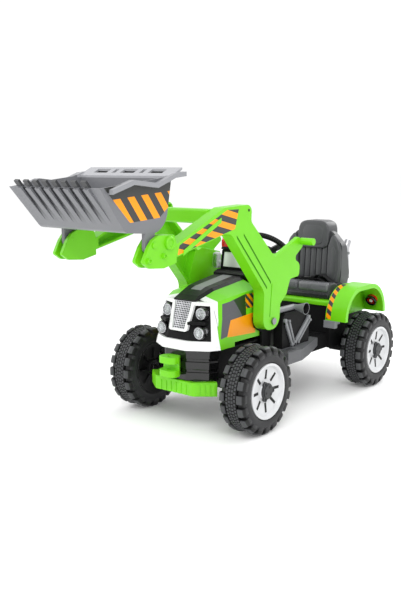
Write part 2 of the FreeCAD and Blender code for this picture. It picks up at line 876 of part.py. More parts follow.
def front_axle():
    """A beam with a fork at each end, two knuckles and the tie rod."""
    top = S.floor_height
    web = KINGPIN - S.fork_web_gap
    low = AXLE - S.knuckle_height / 2 - S.side_play
    high = AXLE + S.knuckle_height / 2 + S.side_play
    tip = KINGPIN + S.knuckle_radius
    depth = (FRONT - S.beam_depth / 2, FRONT + S.beam_depth / 2)
    body = new_body("AxleBeam")
    face = [
        (-tip, low - S.fork_plate),
        (-web, low - S.fork_plate),
        (-web + S.fork_plate, top - S.beam_drop),
        (web - S.fork_plate, top - S.beam_drop),
        (web, low - S.fork_plate),
        (tip, low - S.fork_plate),
        (tip, low),
        (web + S.fork_plate, low),
        (web + S.fork_plate, high),
        (tip, high),
        (tip, high + S.fork_plate),
        (web, high + S.fork_plate),
        (web - S.fork_plate, top),
        (-web + S.fork_plate, top),
        (-web, high + S.fork_plate),
        (-tip, high + S.fork_plate),
        (-tip, high),
        (-web - S.fork_plate, high),
        (-web - S.fork_plate, low),
        (-tip, low),
    ]
    pad(outline(body, "XZ_Plane", face, -depth[1]), S.beam_depth)
    bore = S.kingpin_radius + S.running_fit
    holes = [(KINGPIN, FRONT, bore), (-KINGPIN, FRONT, bore)]
    pocket(rounds(body, "XY_Plane", holes, high + S.fork_plate + S.overrun),
           S.knuckle_height + S.fork_plate * 2 + S.overrun * 3)
    node("front_axle_beam", body)

    pin_span = S.knuckle_height + S.fork_plate * 2
    pin = rod(UP, S.kingpin_radius, pin_span, KINGPIN, FRONT, low - S.fork_plate + S.side_play)
    barrel = rod(UP, S.knuckle_radius, S.knuckle_height, KINGPIN, FRONT, low + S.side_play)
    stub_end = TRACK + S.tyre_width / 2 - S.dish_depth + S.cap_depth / 3
    stub = rod(LEFT, S.axle_radius, stub_end - KINGPIN, KINGPIN, FRONT, AXLE)
    rim_inside = TRACK - S.tyre_width / 2 + S.tyre_wall
    collar_end = rim_inside - S.side_play
    collar = rod(LEFT, S.axle_collar, collar_end - KINGPIN, KINGPIN, FRONT, AXLE)
    arm_low = low + S.side_play
    arm_top = arm_low + S.steer_arm_thick
    arm_half = S.steer_arm_width / 2
    arm = block((KINGPIN - arm_half, KINGPIN + arm_half),
                (FRONT, FRONT + S.steer_arm_length), (arm_low, arm_top))
    eye = rod(UP, arm_half, S.steer_arm_thick, KINGPIN, FRONT + S.steer_arm_length, arm_low)
    peg_length = S.steer_arm_thick + S.tie_rod_thick + S.side_play * 3
    peg = rod(UP, S.tie_pin_radius, peg_length, KINGPIN, FRONT + S.steer_arm_length, arm_low)
    knuckle = node("left_knuckle", fuse(pin, barrel, stub, collar, arm, eye, peg))
    node("right_knuckle", mirrored(knuckle))

    rod_body = new_body("TieRod")
    middle = FRONT + S.steer_arm_length
    near = middle - S.tie_rod_depth / 2
    far = middle + S.tie_rod_depth / 2
    eye_near = middle - S.tie_eye_radius
    eye_far = middle + S.tie_eye_radius
    eye_start = KINGPIN - S.tie_eye_radius
    eye_end = KINGPIN + S.tie_eye_radius
    plan = [(-eye_end, eye_near), (-eye_start, eye_near), (-eye_start + S.tie_rod_depth, near),
            (-S.tie_hub_half * 2, near), (-S.tie_hub_half, middle - S.tie_hub_half),
            (S.tie_hub_half, middle - S.tie_hub_half), (S.tie_hub_half * 2, near),
            (eye_start - S.tie_rod_depth, near), (eye_start, eye_near), (eye_end, eye_near),
            (eye_end, eye_far), (eye_start, eye_far), (eye_start - S.tie_rod_depth, far),
            (S.tie_hub_half * 2, far), (S.tie_hub_half, middle + S.tie_hub_half),
            (-S.tie_hub_half, middle + S.tie_hub_half), (-S.tie_hub_half * 2, far),
            (-eye_start + S.tie_rod_depth, far), (-eye_start, eye_far), (-eye_end, eye_far)]
    pad(outline(rod_body, "XY_Plane", plan, arm_top + S.side_play), S.tie_rod_thick)
    for across, slack_side, slack_back in ((KINGPIN, S.tie_slack_side, S.tie_slack_back),
                                           (-KINGPIN, S.tie_slack_side, S.tie_slack_back),
                                           (ZERO, S.crank_slack_side, S.crank_slack_back)):
        slot_side = S.tie_pin_radius + slack_side
        slot_back = S.tie_pin_radius + slack_back
        slot = [(across - slot_side, middle - slot_back), (across + slot_side, middle - slot_back),
                (across + slot_side, middle + slot_back), (across - slot_side, middle + slot_back)]
        sketch = outline(rod_body, "XY_Plane", slot, arm_top + S.side_play + S.tie_rod_thick)
        pocket(sketch, S.tie_rod_thick + S.overrun)
    node("tie_rod", rod_body)


def column_lean():
    """Unit direction up the column, from its foot to the steering wheel."""
    along = S.wheel_centre_back.value - S.column_foot_back.value
    rise = S.wheel_centre_height.value - S.column_foot_height.value
    return Vector(0, along, rise).normalize()


def column_length():
    """Length of the column from its foot to the steering wheel's centre."""
    along = S.wheel_centre_back - S.column_foot_back
    rise = S.wheel_centre_height - S.column_foot_height
    text = "sqrt(%s + %s)" % ((along * along).text, (rise * rise).text)
    return Size(math.hypot(along.value, rise.value), text)


def on_column(thing, along, up):
    """Stand a piece that is drawn about the X axis on the column's line."""
    lean = column_lean()
    across = Vector(0, lean.z, -lean.y)
    thing.Placement.Rotation = FreeCAD.Rotation(lean, LEFT, across, "XYZ")
    return place(thing, ZERO, FRONT + along, up)


def steering():
    """The steering wheel, its horn button, and the column with its crank."""
    body = new_body("SteeringWheel")
    revolve(rounds(body, "XY_Plane", [(ZERO, S.steering_radius, S.steering_grip)]))
    hub = rounds(body, "YZ_Plane", [(ZERO, ZERO, S.steering_hub)], -S.steering_hub_depth)
    pad(hub, S.steering_hub_depth)
    half = S.spoke_width / 2
    spoke = [(-half, ZERO), (half, ZERO), (half, S.steering_radius), (-half, S.steering_radius)]
    arm = pad(outline(body, "YZ_Plane", spoke, -S.spoke_thick), S.spoke_thick)
    repeat_round(arm, SPOKE_COUNT)
    recess = rounds(body, "YZ_Plane", [(ZERO, ZERO, S.horn_radius + S.side_play)])
    pocket(recess, S.horn_height)
    node("steering_wheel", on_column(body, S.wheel_centre_back, S.wheel_centre_height))

    button = new_body("HornButton")
    low = S.horn_travel + S.side_play - S.horn_height
    pad(rounds(button, "YZ_Plane", [(ZERO, ZERO, S.horn_radius)], low), S.horn_height)
    node("horn_button", on_column(button, S.wheel_centre_back, S.wheel_centre_height))

    column = new_body("Column")
    foot = rounds(column, "YZ_Plane", [(ZERO, ZERO, S.column_radius)])
    pad(foot, column_length() - S.steering_hub_depth)
    crank = rounds(column, "XY_Plane", [(ZERO, ZERO, S.tie_pin_radius)])
    pad(crank, S.crank_length)
    node("steering_column", on_column(column, S.column_foot_back, S.column_foot_height))


# Tub and nose

def plan_of_nose(side, reach, shares, corner):
    """Corners of a bluff nose in plan, ahead of the tub's front wall."""
    wall = FRONT + S.nose_back
    cheek_side, cheek_reach, front_side = shares
    return [
        (-side, wall),
        (-side * cheek_side, wall - reach * cheek_reach, corner),
        (-side * front_side, wall - reach, corner),
        (side * front_side, wall - reach, corner),
        (side * cheek_side, wall - reach * cheek_reach, corner),
        (side, wall),
    ]


def tub():
    """The black tub: a front bay with a deck, a low cockpit floor and a rear bay."""
    body = new_body("Tub")
    nose = FRONT + S.nose_back
    dash = FRONT + S.dash_back
    riser = FRONT + S.riser_back
    tail = FRONT + S.tail_back
    plan = [
        (-S.deck_side, nose), (S.deck_side, nose), (S.deck_side, dash), (S.tub_mid_side, dash),
        (S.tub_mid_side, riser), (S.tub_rear_side, riser), (S.tub_rear_side, tail),
        (-S.tub_rear_side, tail), (-S.tub_rear_side, riser), (-S.tub_mid_side, riser),
        (-S.tub_mid_side, dash), (-S.deck_side, dash),
    ]
    pad(outline(body, "XY_Plane", plan, S.floor_height), S.tray_height - S.floor_height)
    wide = S.tub_rear_side + S.overrun
    step = [
        (nose - S.overrun, S.deck_height), (dash, S.deck_height), (dash, S.step_height),
        (riser, S.step_height), (riser, S.tray_height + S.overrun),
        (nose - S.overrun, S.tray_height + S.overrun),
    ]
    pocket(outline(body, "YZ_Plane", step, -wide), wide * 2, along_normal=True)
    for side in (1, -1):
        gap = [
            (S.tub_front_side * side, S.floor_height - S.overrun),
            (wide * side, S.floor_height - S.overrun),
            (wide * side, S.deck_height - S.deck_thick),
            (S.tub_front_side * side, S.deck_height - S.deck_thick),
        ]
        sketch = outline(body, "XZ_Plane", gap, -dash)
        pocket(sketch, dash - nose + S.overrun, along_normal=True)
    bay_side = S.tub_front_side - S.wall
    bay = [(-bay_side, nose + S.wall), (bay_side, nose + S.wall), (bay_side, dash - S.wall),
           (-bay_side, dash - S.wall)]
    pocket(outline(body, "XY_Plane", bay, S.deck_height), S.deck_height - S.floor_height - S.wall)
    rear_side = S.tub_rear_side - S.wall
    rear_bay = [(-rear_side, riser + S.wall), (rear_side, riser + S.wall), (rear_side, tail - S.wall),
                (-rear_side, tail - S.wall)]
    pocket(outline(body, "XY_Plane", rear_bay, S.tray_height), S.tray_height - S.floor_height - S.wall)
    mid_side = S.tub_mid_side - S.wall
    tunnel = [(-mid_side, dash + S.wall), (mid_side, dash + S.wall), (mid_side, riser - S.wall),
              (-mid_side, riser - S.wall)]
    pocket(outline(body, "XY_Plane", tunnel, S.floor_height - S.overrun),
           S.step_height - S.floor_height - S.wall + S.overrun, along_normal=True)
    start = FRONT + S.column_foot_back - S.column_slot_side
    slot = [(-S.column_slot_side, start), (S.column_slot_side, start),
            (S.column_slot_side, start + S.column_slot_length),
            (-S.column_slot_side, start + S.column_slot_length)]
    pocket(outline(body, "XY_Plane", slot, S.floor_height + S.wall + S.overrun), S.wall + S.overrun * 2)
    node("chassis_tub", fuse(body, *lever_cheeks()))


def nose_solid():
    """The full bluff nose that the fascia and the lamp panel are cut from."""
    body = new_body("Nose")
    low = plan_of_nose(S.fascia_side, S.fascia_reach, NOSE_FOOT_SHARES, S.nose_corner)
    high = plan_of_nose(S.fascia_top_side, S.fascia_top_reach, NOSE_TOP_SHARES, S.nose_corner / 2)
    loft([outline(body, "XY_Plane", low, S.deck_height), outline(body, "XY_Plane", high, S.fascia_top)])
    return body


def front_prism(corners):
    """A prism ahead of the tub's front wall, over an outline seen from the front."""
    body = new_body("FrontPrism")
    sketch = outline(body, "XZ_Plane", corners, -(FRONT + S.nose_back))
    pad(sketch, S.fascia_reach + S.overrun)
    return body


def fascia():
    """The pale fascia, the lamp panel with its fins, the lamps and the grille."""
    nose = nose_solid()
    top = S.window_bottom + S.window_rise
    tongue = S.window_bottom + S.tongue_rise
    soft = S.nose_corner / 2
    window = front_prism([
        (-S.window_side, S.window_bottom), (S.window_side, S.window_bottom), (S.window_top_side, top),
        (S.tongue_top_side, top), (S.tongue_side, tongue, soft), (-S.tongue_side, tongue, soft),
        (-S.tongue_top_side, top), (-S.window_top_side, top),
    ])
    mesh = front_prism([
        (-S.grille_bottom_side, S.grille_bottom), (S.grille_bottom_side, S.grille_bottom),
        (S.grille_top_side, S.grille_top), (-S.grille_top_side, S.grille_top),
    ])
    seat = shifted(nose, along=S.grille_depth)
    skin = S.wall * 3
    node("front_fascia", cut(nose, window, cut(mesh, seat), shifted(nose, along=skin, up=-S.wall)))
    plate = cut(shifted(nose, along=S.grille_depth - S.grille_thick), seat)
    node("grille", common(plate, mesh))

    wall = FRONT + S.nose_back
    lamps = []
    for side, height, proud in ((S.lamp_upper_side, S.lamp_upper_height, S.lamp_upper_proud),
                                (S.lamp_lower_side, S.lamp_lower_height, S.lamp_lower_proud)):
        barrel = rod(FORWARD, S.lamp_radius, proud - S.wall * 2, side, wall - S.wall, height)
        lens = cone(FORWARD, S.lamp_radius, S.lamp_radius * LENS_SHARE, S.wall, side,
                    wall - proud + S.wall, height)
        lamp = fuse(barrel, lens)
        lamps += [lamp, mirrored(lamp)]
    fins = []
    for side in (1, -1):
        body = new_body("Fin")
        spots = [(across * side, wall - reach) for across, reach in (
            (S.tongue_top_side, ZERO), (S.tongue_top_side, S.fin_reach),
            (S.window_top_side, S.fin_reach * FIN_TIP_SHARE),
            (S.window_top_side, ZERO))]
        pad(outline(body, "XY_Plane", spots, S.fin_height - S.fin_thick / 2), S.fin_thick)
        fins.append(body)
    board = common(shifted(nose, along=S.lamp_recess), window)
    behind = shifted(nose, along=S.lamp_recess + skin, up=-S.wall)
    node("lamp_panel", cut(fuse(board, *fins), behind, *lamps))
    node("headlamps", group(*lamps))


def bumper():
    """The grooved front bumper, the ribbed guard below it and the tow hitch."""
    wall = FRONT + S.nose_back
    body = new_body("Bumper")
    plan = plan_of_nose(S.bumper_side, S.bumper_reach, NOSE_FOOT_SHARES, S.nose_corner)
    pad(outline(body, "XY_Plane", plan, S.floor_height), S.deck_height - S.floor_height)
    core = new_body("BumperCore")
    slim = plan_of_nose(S.bumper_side - S.bumper_groove, S.bumper_reach - S.bumper_groove,
                        NOSE_FOOT_SHARES, S.nose_corner)
    pad(outline(core, "XY_Plane", slim, S.floor_height), S.deck_height - S.floor_height)
    grooves = []
    for share in BUMPER_GROOVE_SHARES:
        low = S.floor_height + (S.deck_height - S.floor_height) * share
        slab = block((-S.fascia_side, S.fascia_side), (wall - S.fascia_reach, wall),
                     (low, low + S.bumper_groove_height))
        grooves.append(cut(slab, core))
    inside = shifted(core, along=S.wall * 2, up=-S.wall)
    node("front_bumper", cut(body, inside, *grooves))

    guard = new_body("Guard")
    front = wall - S.guard_reach
    bend = S.guard_side * GUARD_BEND_SHARE
    tip = wall - S.guard_reach * GUARD_TIP_SHARE
    inner = S.guard_thick
    strip = [(-S.guard_side, tip), (-bend, front, S.nose_corner), (bend, front, S.nose_corner),
             (S.guard_side, tip), (S.guard_side - inner, tip + inner), (bend - inner / 2, front + inner),
             (-bend + inner / 2, front + inner), (-S.guard_side + inner, tip + inner)]
    height = S.floor_height - S.guard_bottom
    pad(outline(guard, "XY_Plane", strip, S.guard_bottom), height)
    first = -S.guard_rib_pitch * (GUARD_RIB_COUNT - 1) / 2
    rib_half = S.guard_rib_width / 2
    rib = [(first - rib_half, front - S.overrun), (first + rib_half, front - S.overrun),
           (first + rib_half, front + S.guard_rib_depth), (first - rib_half, front + S.guard_rib_depth)]
    sketch = outline(guard, "XY_Plane", rib, S.floor_height - S.guard_thick / 2)
    repeat_across(pocket(sketch, height), S.guard_rib_pitch, GUARD_RIB_COUNT)
    node("lower_guard", guard)

    seat = wall - S.bumper_reach
    nose = seat - S.hitch_reach
    web = seat - S.hitch_plate
    levels = [S.hitch_bottom, S.hitch_bottom + S.hitch_plate, S.hitch_bottom + S.hitch_plate + S.hitch_gap,
              S.hitch_bottom + S.hitch_plate * 2 + S.hitch_gap]
    jaw = new_body("HitchJaw")
    side_view = [(seat, levels[0]), (nose, levels[0]), (nose, levels[1]), (web, levels[1]),
                 (web, levels[2]), (nose, levels[2]), (nose, levels[3]), (seat, levels[3])]
    pad(outline(jaw, "YZ_Plane", side_view, -S.hitch_side), S.hitch_side * 2)
    lug = new_body("HitchPlan")
    bow = S.hitch_side * HITCH_BOW_SHARE
    plan = [(-bow, seat), (bow, seat), (S.hitch_side, seat - S.hitch_plate), (S.hitch_side, nose, bow),
            (-S.hitch_side, nose, bow), (-S.hitch_side, seat - S.hitch_plate)]
    pad(outline(lug, "XY_Plane", plan, levels[0]), levels[3] - levels[0])
    pin = rod(UP, S.hitch_bore, levels[3] - levels[0] + S.overrun * 2, ZERO,
              nose + S.hitch_plate, levels[0] - S.overrun)
    node("tow_hitch", cut(common(jaw, lug), pin))


# Bonnet and cockpit

def bonnet_section(shares, inset=ZERO, drop=ZERO):
    """Corners of the bonnet seen from the front at one station."""
    foot, shoulder, shoulder_up, crease, crease_up, top, top_up = shares
    half = [
        (S.bonnet_side * foot - inset, S.deck_height - drop),
        (S.bonnet_side * shoulder - inset, S.deck_height + S.bonnet_rise * shoulder_up),
        (S.bonnet_side * crease - inset, S.deck_height + S.bonnet_rise * crease_up - inset),
        (S.bonnet_side * top - inset, S.deck_height + S.bonnet_rise * top_up - inset),
    ]
    far = [(-across, up) for across, up in reversed(half)]
    return half + far


def strip_section(shares):
    """Corners of the bonnet strip at one station, lying on the bonnet's top."""
    side = S.bonnet_side * shares[5]
    low = S.deck_height + S.bonnet_rise * shares[6]
    return [(side, low), (side - S.strip_thick, low + S.strip_thick),
            (-side + S.strip_thick, low + S.strip_thick), (-side, low)]


def bonnet():
    """The green bonnet shell, and the gloss strip along its top."""
    outer = new_body("BonnetOuter")
    inner = new_body("BonnetInner")
    strip = new_body("Strip")
    length = S.dash_back - S.nose_back
    wall = FRONT + S.nose_back
    lip_side = S.bonnet_side * BONNET_SHARES[0][1][5] * STRIP_LIP_SHARE
    lip = [(lip_side, S.fascia_top), (lip_side, S.fascia_top + S.wall),
           (-lip_side, S.fascia_top + S.wall), (-lip_side, S.fascia_top)]
    skins = []
    hollows = []
    strips = [outline(strip, "XZ_Plane", lip, -(wall - S.fascia_top_reach))]
    for share, shares in BONNET_SHARES:
        along = wall + length * share
        skins.append(outline(outer, "XZ_Plane", bonnet_section(shares), -along))
        hollows.append(outline(inner, "XZ_Plane", bonnet_section(shares, S.bonnet_wall, S.overrun), -along))
        strips.append(outline(strip, "XZ_Plane", strip_section(shares), -along))
    loft(skins)
    loft(hollows)
    loft(strips)
    back = FRONT + S.bonnet_step_back
    wide = S.bonnet_side + S.overrun
    step = block((-wide, wide), (back, FRONT + S.dash_back + S.overrun),
                 (S.deck_height - S.overrun, S.deck_height + S.bonnet_step))
    start = FRONT + S.recess_back
    well = cut(block((S.bonnet_side * RECESS_SHARE, wide), (start, start + S.recess_length),
                     (S.recess_height, S.recess_height + S.recess_rise)),
               shifted(outer, across=-S.recess_depth))
    node("bonnet_shell", cut(outer, inner, step, well, mirrored(well)))
    node("bonnet_strip", strip)


def hood_plan(inset):
    """Corners of the cowl's hood in plan, which narrows towards the bonnet."""
    front = FRONT + S.dash_back + inset
    bend = FRONT + S.dash_back + S.cowl_length * HOOD_BEND_SHARE
    back = FRONT + S.dash_back + S.cowl_length - inset
    narrow = S.hood_front_side - inset
    side = S.hood_side - inset
    return [(-narrow, front), (narrow, front), (side, bend), (side, back), (-side, back), (-side, bend)]


def cockpit():
    """The cowl, windscreen, beacon and mirrors."""
    dash = FRONT + S.dash_back
    rise = S.cowl_top - S.step_height
    cowl = new_body("Cowl")
    corners = [(dash + S.cowl_length * along, S.step_height + rise * up) for along, up in COWL_SHARES]
    pad(outline(cowl, "YZ_Plane", corners, -S.cowl_side), S.cowl_side * 2)
    waist = corners[-1][1]
    scale = S.cowl_length - S.wall * 2
    hollow = [(dash - S.overrun, S.step_height + S.wall)]
    hollow += [(dash + scale * along, S.step_height + S.wall + (rise - S.wall * 2) * up)
               for along, up in COWL_SHARES[1:-2]]
    hollow += [(dash + scale, waist - S.wall), (dash - S.overrun, waist - S.wall)]
    inner = S.cowl_side - S.wall
    pocket(outline(cowl, "YZ_Plane", hollow, -inner), inner * 2, along_normal=True)
    hood = new_body("CowlHood")
    pad(outline(hood, "XY_Plane", hood_plan(ZERO), waist - S.wall / 2), S.cowl_top - waist + S.wall / 2)
    well = new_body("CowlWell")
    pad(outline(well, "XY_Plane", hood_plan(S.wall), waist - S.wall - S.overrun),
        S.cowl_top - waist + S.overrun)
    shaft = rod(column_lean(), S.column_radius + S.running_fit * 2, column_length(), ZERO,
                FRONT + S.column_foot_back, S.column_foot_height)
    node("dash_cowl", cut(fuse(cowl, hood), well, shaft))

    front = FRONT + S.screen_back
    low = S.cowl_top
    high = low + S.screen_rise
    lean = S.screen_side * SCREEN_TOP_SHARE
    bar = S.screen_bar
    rim = [(-S.screen_side, low), (S.screen_side, low), (lean, high, bar), (-lean, high, bar)]
    gap = [(-S.screen_side + bar, low + bar), (S.screen_side - bar, low + bar),
           (lean - bar, high - bar), (-lean + bar, high - bar)]
    frame = new_body("ScreenFrame")
    pad(outline(frame, "XZ_Plane", rim, -(front + S.screen_depth)), S.screen_depth)
    pocket(outline(frame, "XZ_Plane", gap, -(front + S.screen_depth + S.overrun)),
           S.screen_depth + S.overrun * 2, along_normal=True)
    node("windscreen_frame", frame)
    pane = new_body("Pane")
    middle = front + S.screen_depth / 2 + S.pane_thick / 2
    pad(outline(pane, "XZ_Plane", gap, -middle), S.pane_thick)
    node("windscreen_pane", pane)

    centre = front + S.screen_depth / 2
    waist_radius = S.beacon_radius * LENS_SHARE
    base = cone(UP, S.beacon_radius, waist_radius, S.beacon_base, -S.beacon_side, centre, high)
    lamp_low = high + S.beacon_base
    drum = cone(UP, waist_radius, S.beacon_radius * BEACON_TOP_SHARE, S.beacon_rise, -S.beacon_side, centre,
                lamp_low)
    node("beacon", fuse(base, drum))

    head = new_body("Mirror")
    near = S.screen_side + S.mirror_gap
    far = near + S.mirror_width
    soft = S.mirror_width / 3
    face = [(near, S.mirror_height, soft), (far, S.mirror_height, soft),
            (far, S.mirror_height + S.mirror_rise, soft), (near, S.mirror_height + S.mirror_rise, soft)]
    back = centre + S.mirror_depth / 2
    pad(outline(head, "XZ_Plane", face, -back), S.mirror_depth, taper=-MIRROR_TAPER_DEG)
    stem_low = S.mirror_height + S.mirror_rise * MIRROR_STEM_SHARE
    lean_in = S.mirror_rise * MIRROR_LEAN_SHARE
    stem = block((S.screen_side - lean_in, near + S.mirror_gap),
                 (centre - S.mirror_stem / 2, centre + S.mirror_stem / 2),
                 (stem_low, stem_low + S.mirror_stem))
    arm = cut(fuse(head, stem), frame)
    node("mirrors", group(arm, mirrored(arm)))


# Loader

def arm_spot(shares):
    """A place on the loader arm's side view, in shares of its reach and rise."""
    return (FRONT + S.pivot_back + S.arm_reach * shares[0], S.pivot_height + S.arm_rise * shares[1])


def bar_between(first, last, width):
    """Corners of a slim bar between two places of the side view."""
    return [(first[0], first[1] - width), (last[0], last[1] - width),
            (last[0], last[1] + width), (first[0], first[1] + width)]


def loader():
    """Both arms, their cross beam, the bucket brackets, pins and pivot bolts."""
    inside = S.arm_side + S.side_play
    outside = inside + S.arm_thick
    arm = new_body("Arm")
    corners = []
    for shares in ARM_SHARES:
        corners.append(arm_spot(shares) + ((S.arm_corner * shares[2],) if len(shares) > 2 else ()))
    pad(outline(arm, "YZ_Plane", corners, inside), S.arm_thick)
    rib = bar_between(arm_spot(RIB_SHARES[0]), arm_spot(RIB_SHARES[1]), S.groove_width)
    pad(outline(arm, "YZ_Plane", rib, outside), S.groove_depth)
    grip = arm_spot(GRIP_SHARES)
    pad(rounds(arm, "YZ_Plane", [grip + (S.grip_radius,)], outside), S.grip_length)
    for ends in GROOVE_SHARES:
        line = bar_between(arm_spot(ends[0]), arm_spot(ends[1]), S.groove_width / 2)
        pocket(outline(arm, "YZ_Plane", line, outside), S.groove_depth)
    for hollow in ARM_HOLLOW_SHARES:
        cell = [arm_spot(shares) for shares in hollow]
        pocket(outline(arm, "YZ_Plane", cell, inside), S.arm_thick - S.wall * 2, along_normal=True)
    thin = [arm_spot(shares) for shares in ARM_THIN_SHARES]
    pocket(outline(arm, "YZ_Plane", thin, inside), S.arm_thick - S.lever_plate, along_normal=True)
    bore = S.bolt_radius + S.running_fit
    pivot = (FRONT + S.pivot_back, S.pivot_height)
    pocket(rounds(arm, "YZ_Plane", [pivot + (bore,)], inside - S.overrun), S.arm_thick + S.overrun * 2,
           along_normal=True)
    node("left_arm", arm)
    node("right_arm", mirrored(arm))

    beam = new_body("CrossBeam")
    centre = arm_spot(BEAM_SHARES)
    half_width = S.beam_width / 2
    half_height = S.beam_height / 2
    section = [(centre[0] - half_width, centre[1] - half_height, S.beam_corner),
               (centre[0] + half_width, centre[1] - half_height, S.beam_corner),
               (centre[0] + half_width, centre[1] + half_height, S.beam_corner),
               (centre[0] - half_width, centre[1] + half_height, S.beam_corner)]
    pad(outline(beam, "YZ_Plane", section, -inside), inside * 2)
    node("arm_cross_beam", beam)

    front = FRONT + S.pivot_back - S.arm_reach
    bracket = new_body("Bracket")
    corners = []
    for shares in BRACKET_SHARES:
        corners.append((front - S.bracket_reach * shares[0], S.bracket_foot + S.bracket_rise * shares[1],
                        S.boss_radius * shares[2]) if len(shares) > 2 else
                       (front - S.bracket_reach * shares[0], S.bracket_foot + S.bracket_rise * shares[1]))
    pad(outline(bracket, "YZ_Plane", corners, inside), S.arm_thick)
    boss = (front - S.boss_radius * 2, S.bracket_foot + S.bracket_rise - S.boss_radius * 2)
    pad(rounds(bracket, "YZ_Plane", [boss + (S.boss_radius,)], outside), S.boss_thick)
    middle = inside + S.arm_thick / 2
    far = front - S.bracket_reach - S.overrun
    slot = [(middle - S.fork_gap / 2, far), (middle + S.fork_gap / 2, far),
            (middle + S.fork_gap / 2, far + S.fork_depth), (middle - S.fork_gap / 2, far + S.fork_depth)]
    pocket(outline(bracket, "XY_Plane", slot, S.bracket_foot - S.overrun), S.bracket_rise + S.overrun * 2,
           along_normal=True)
    pin_spot = (FRONT + S.bucket_pin_back, S.bucket_pin_height)
    bore = S.bucket_pin_radius + S.running_fit
    pocket(rounds(bracket, "YZ_Plane", [pin_spot + (bore,)], inside - S.overrun), S.arm_thick + S.overrun * 2,
           along_normal=True)
    node("bucket_brackets", group(bracket, mirrored(bracket)))
    shank = rod(LEFT, S.bucket_pin_radius, S.arm_thick, inside, *pin_spot)
    head = rod(LEFT, S.bucket_pin_radius * 2, S.bucket_pin_head, outside, *pin_spot)
    pin = fuse(shank, head)
    node("bucket_pins", group(pin, mirrored(pin)))

    post = new_body("Post")
    corners = []
    for along, up in POST_SHARES:
        corners.append((FRONT + S.pivot_back + S.post_width * along,
                        S.step_height + (S.pivot_height - S.step_height) * up))
    start = S.arm_side - S.post_thick
    pad(outline(post, "YZ_Plane", corners, start), S.post_thick)
    pocket(rounds(post, "YZ_Plane", [pivot + (S.bolt_radius + S.running_fit,)], start - S.overrun),
           S.post_thick + S.overrun * 2, along_normal=True)
    node("arm_posts", group(post, mirrored(post)))
    shank = rod(LEFT, S.bolt_radius, outside + S.side_play - start, start, *pivot)
    head = rod(LEFT, S.bolt_head, S.bolt_head_thick, outside + S.side_play, *pivot)
    bolt = fuse(shank, head)
    node("pivot_bolts", group(bolt, mirrored(bolt)))


def bucket_spot(shares):
    """A place on the bucket's side view, in shares of its length and rise."""
    tail = FRONT + S.bucket_tail_back
    return (tail + S.bucket_length * shares[0], S.bucket_bottom + S.bucket_rise * shares[1])


def plate_frame(thing, along, into, turn_deg=0.0):
    """Lay a box along the bucket's front plate, from offsets along and into the plate at its tip."""
    tip = bucket_spot(BUCKET_SHARES[0])
    heel = bucket_spot(BUCKET_SHARES[1])
    slope = math.atan2(float(heel[1] - tip[1]), float(heel[0] - tip[0]))
    thing.Placement.Rotation = FreeCAD.Rotation(LEFT, math.degrees(slope) + turn_deg)
    bind(thing, "Placement.Base.y", tip[0] + along * math.cos(slope) - into * math.sin(slope))
    bind(thing, "Placement.Base.z", tip[1] + along * math.sin(slope) + into * math.cos(slope))
    return thing


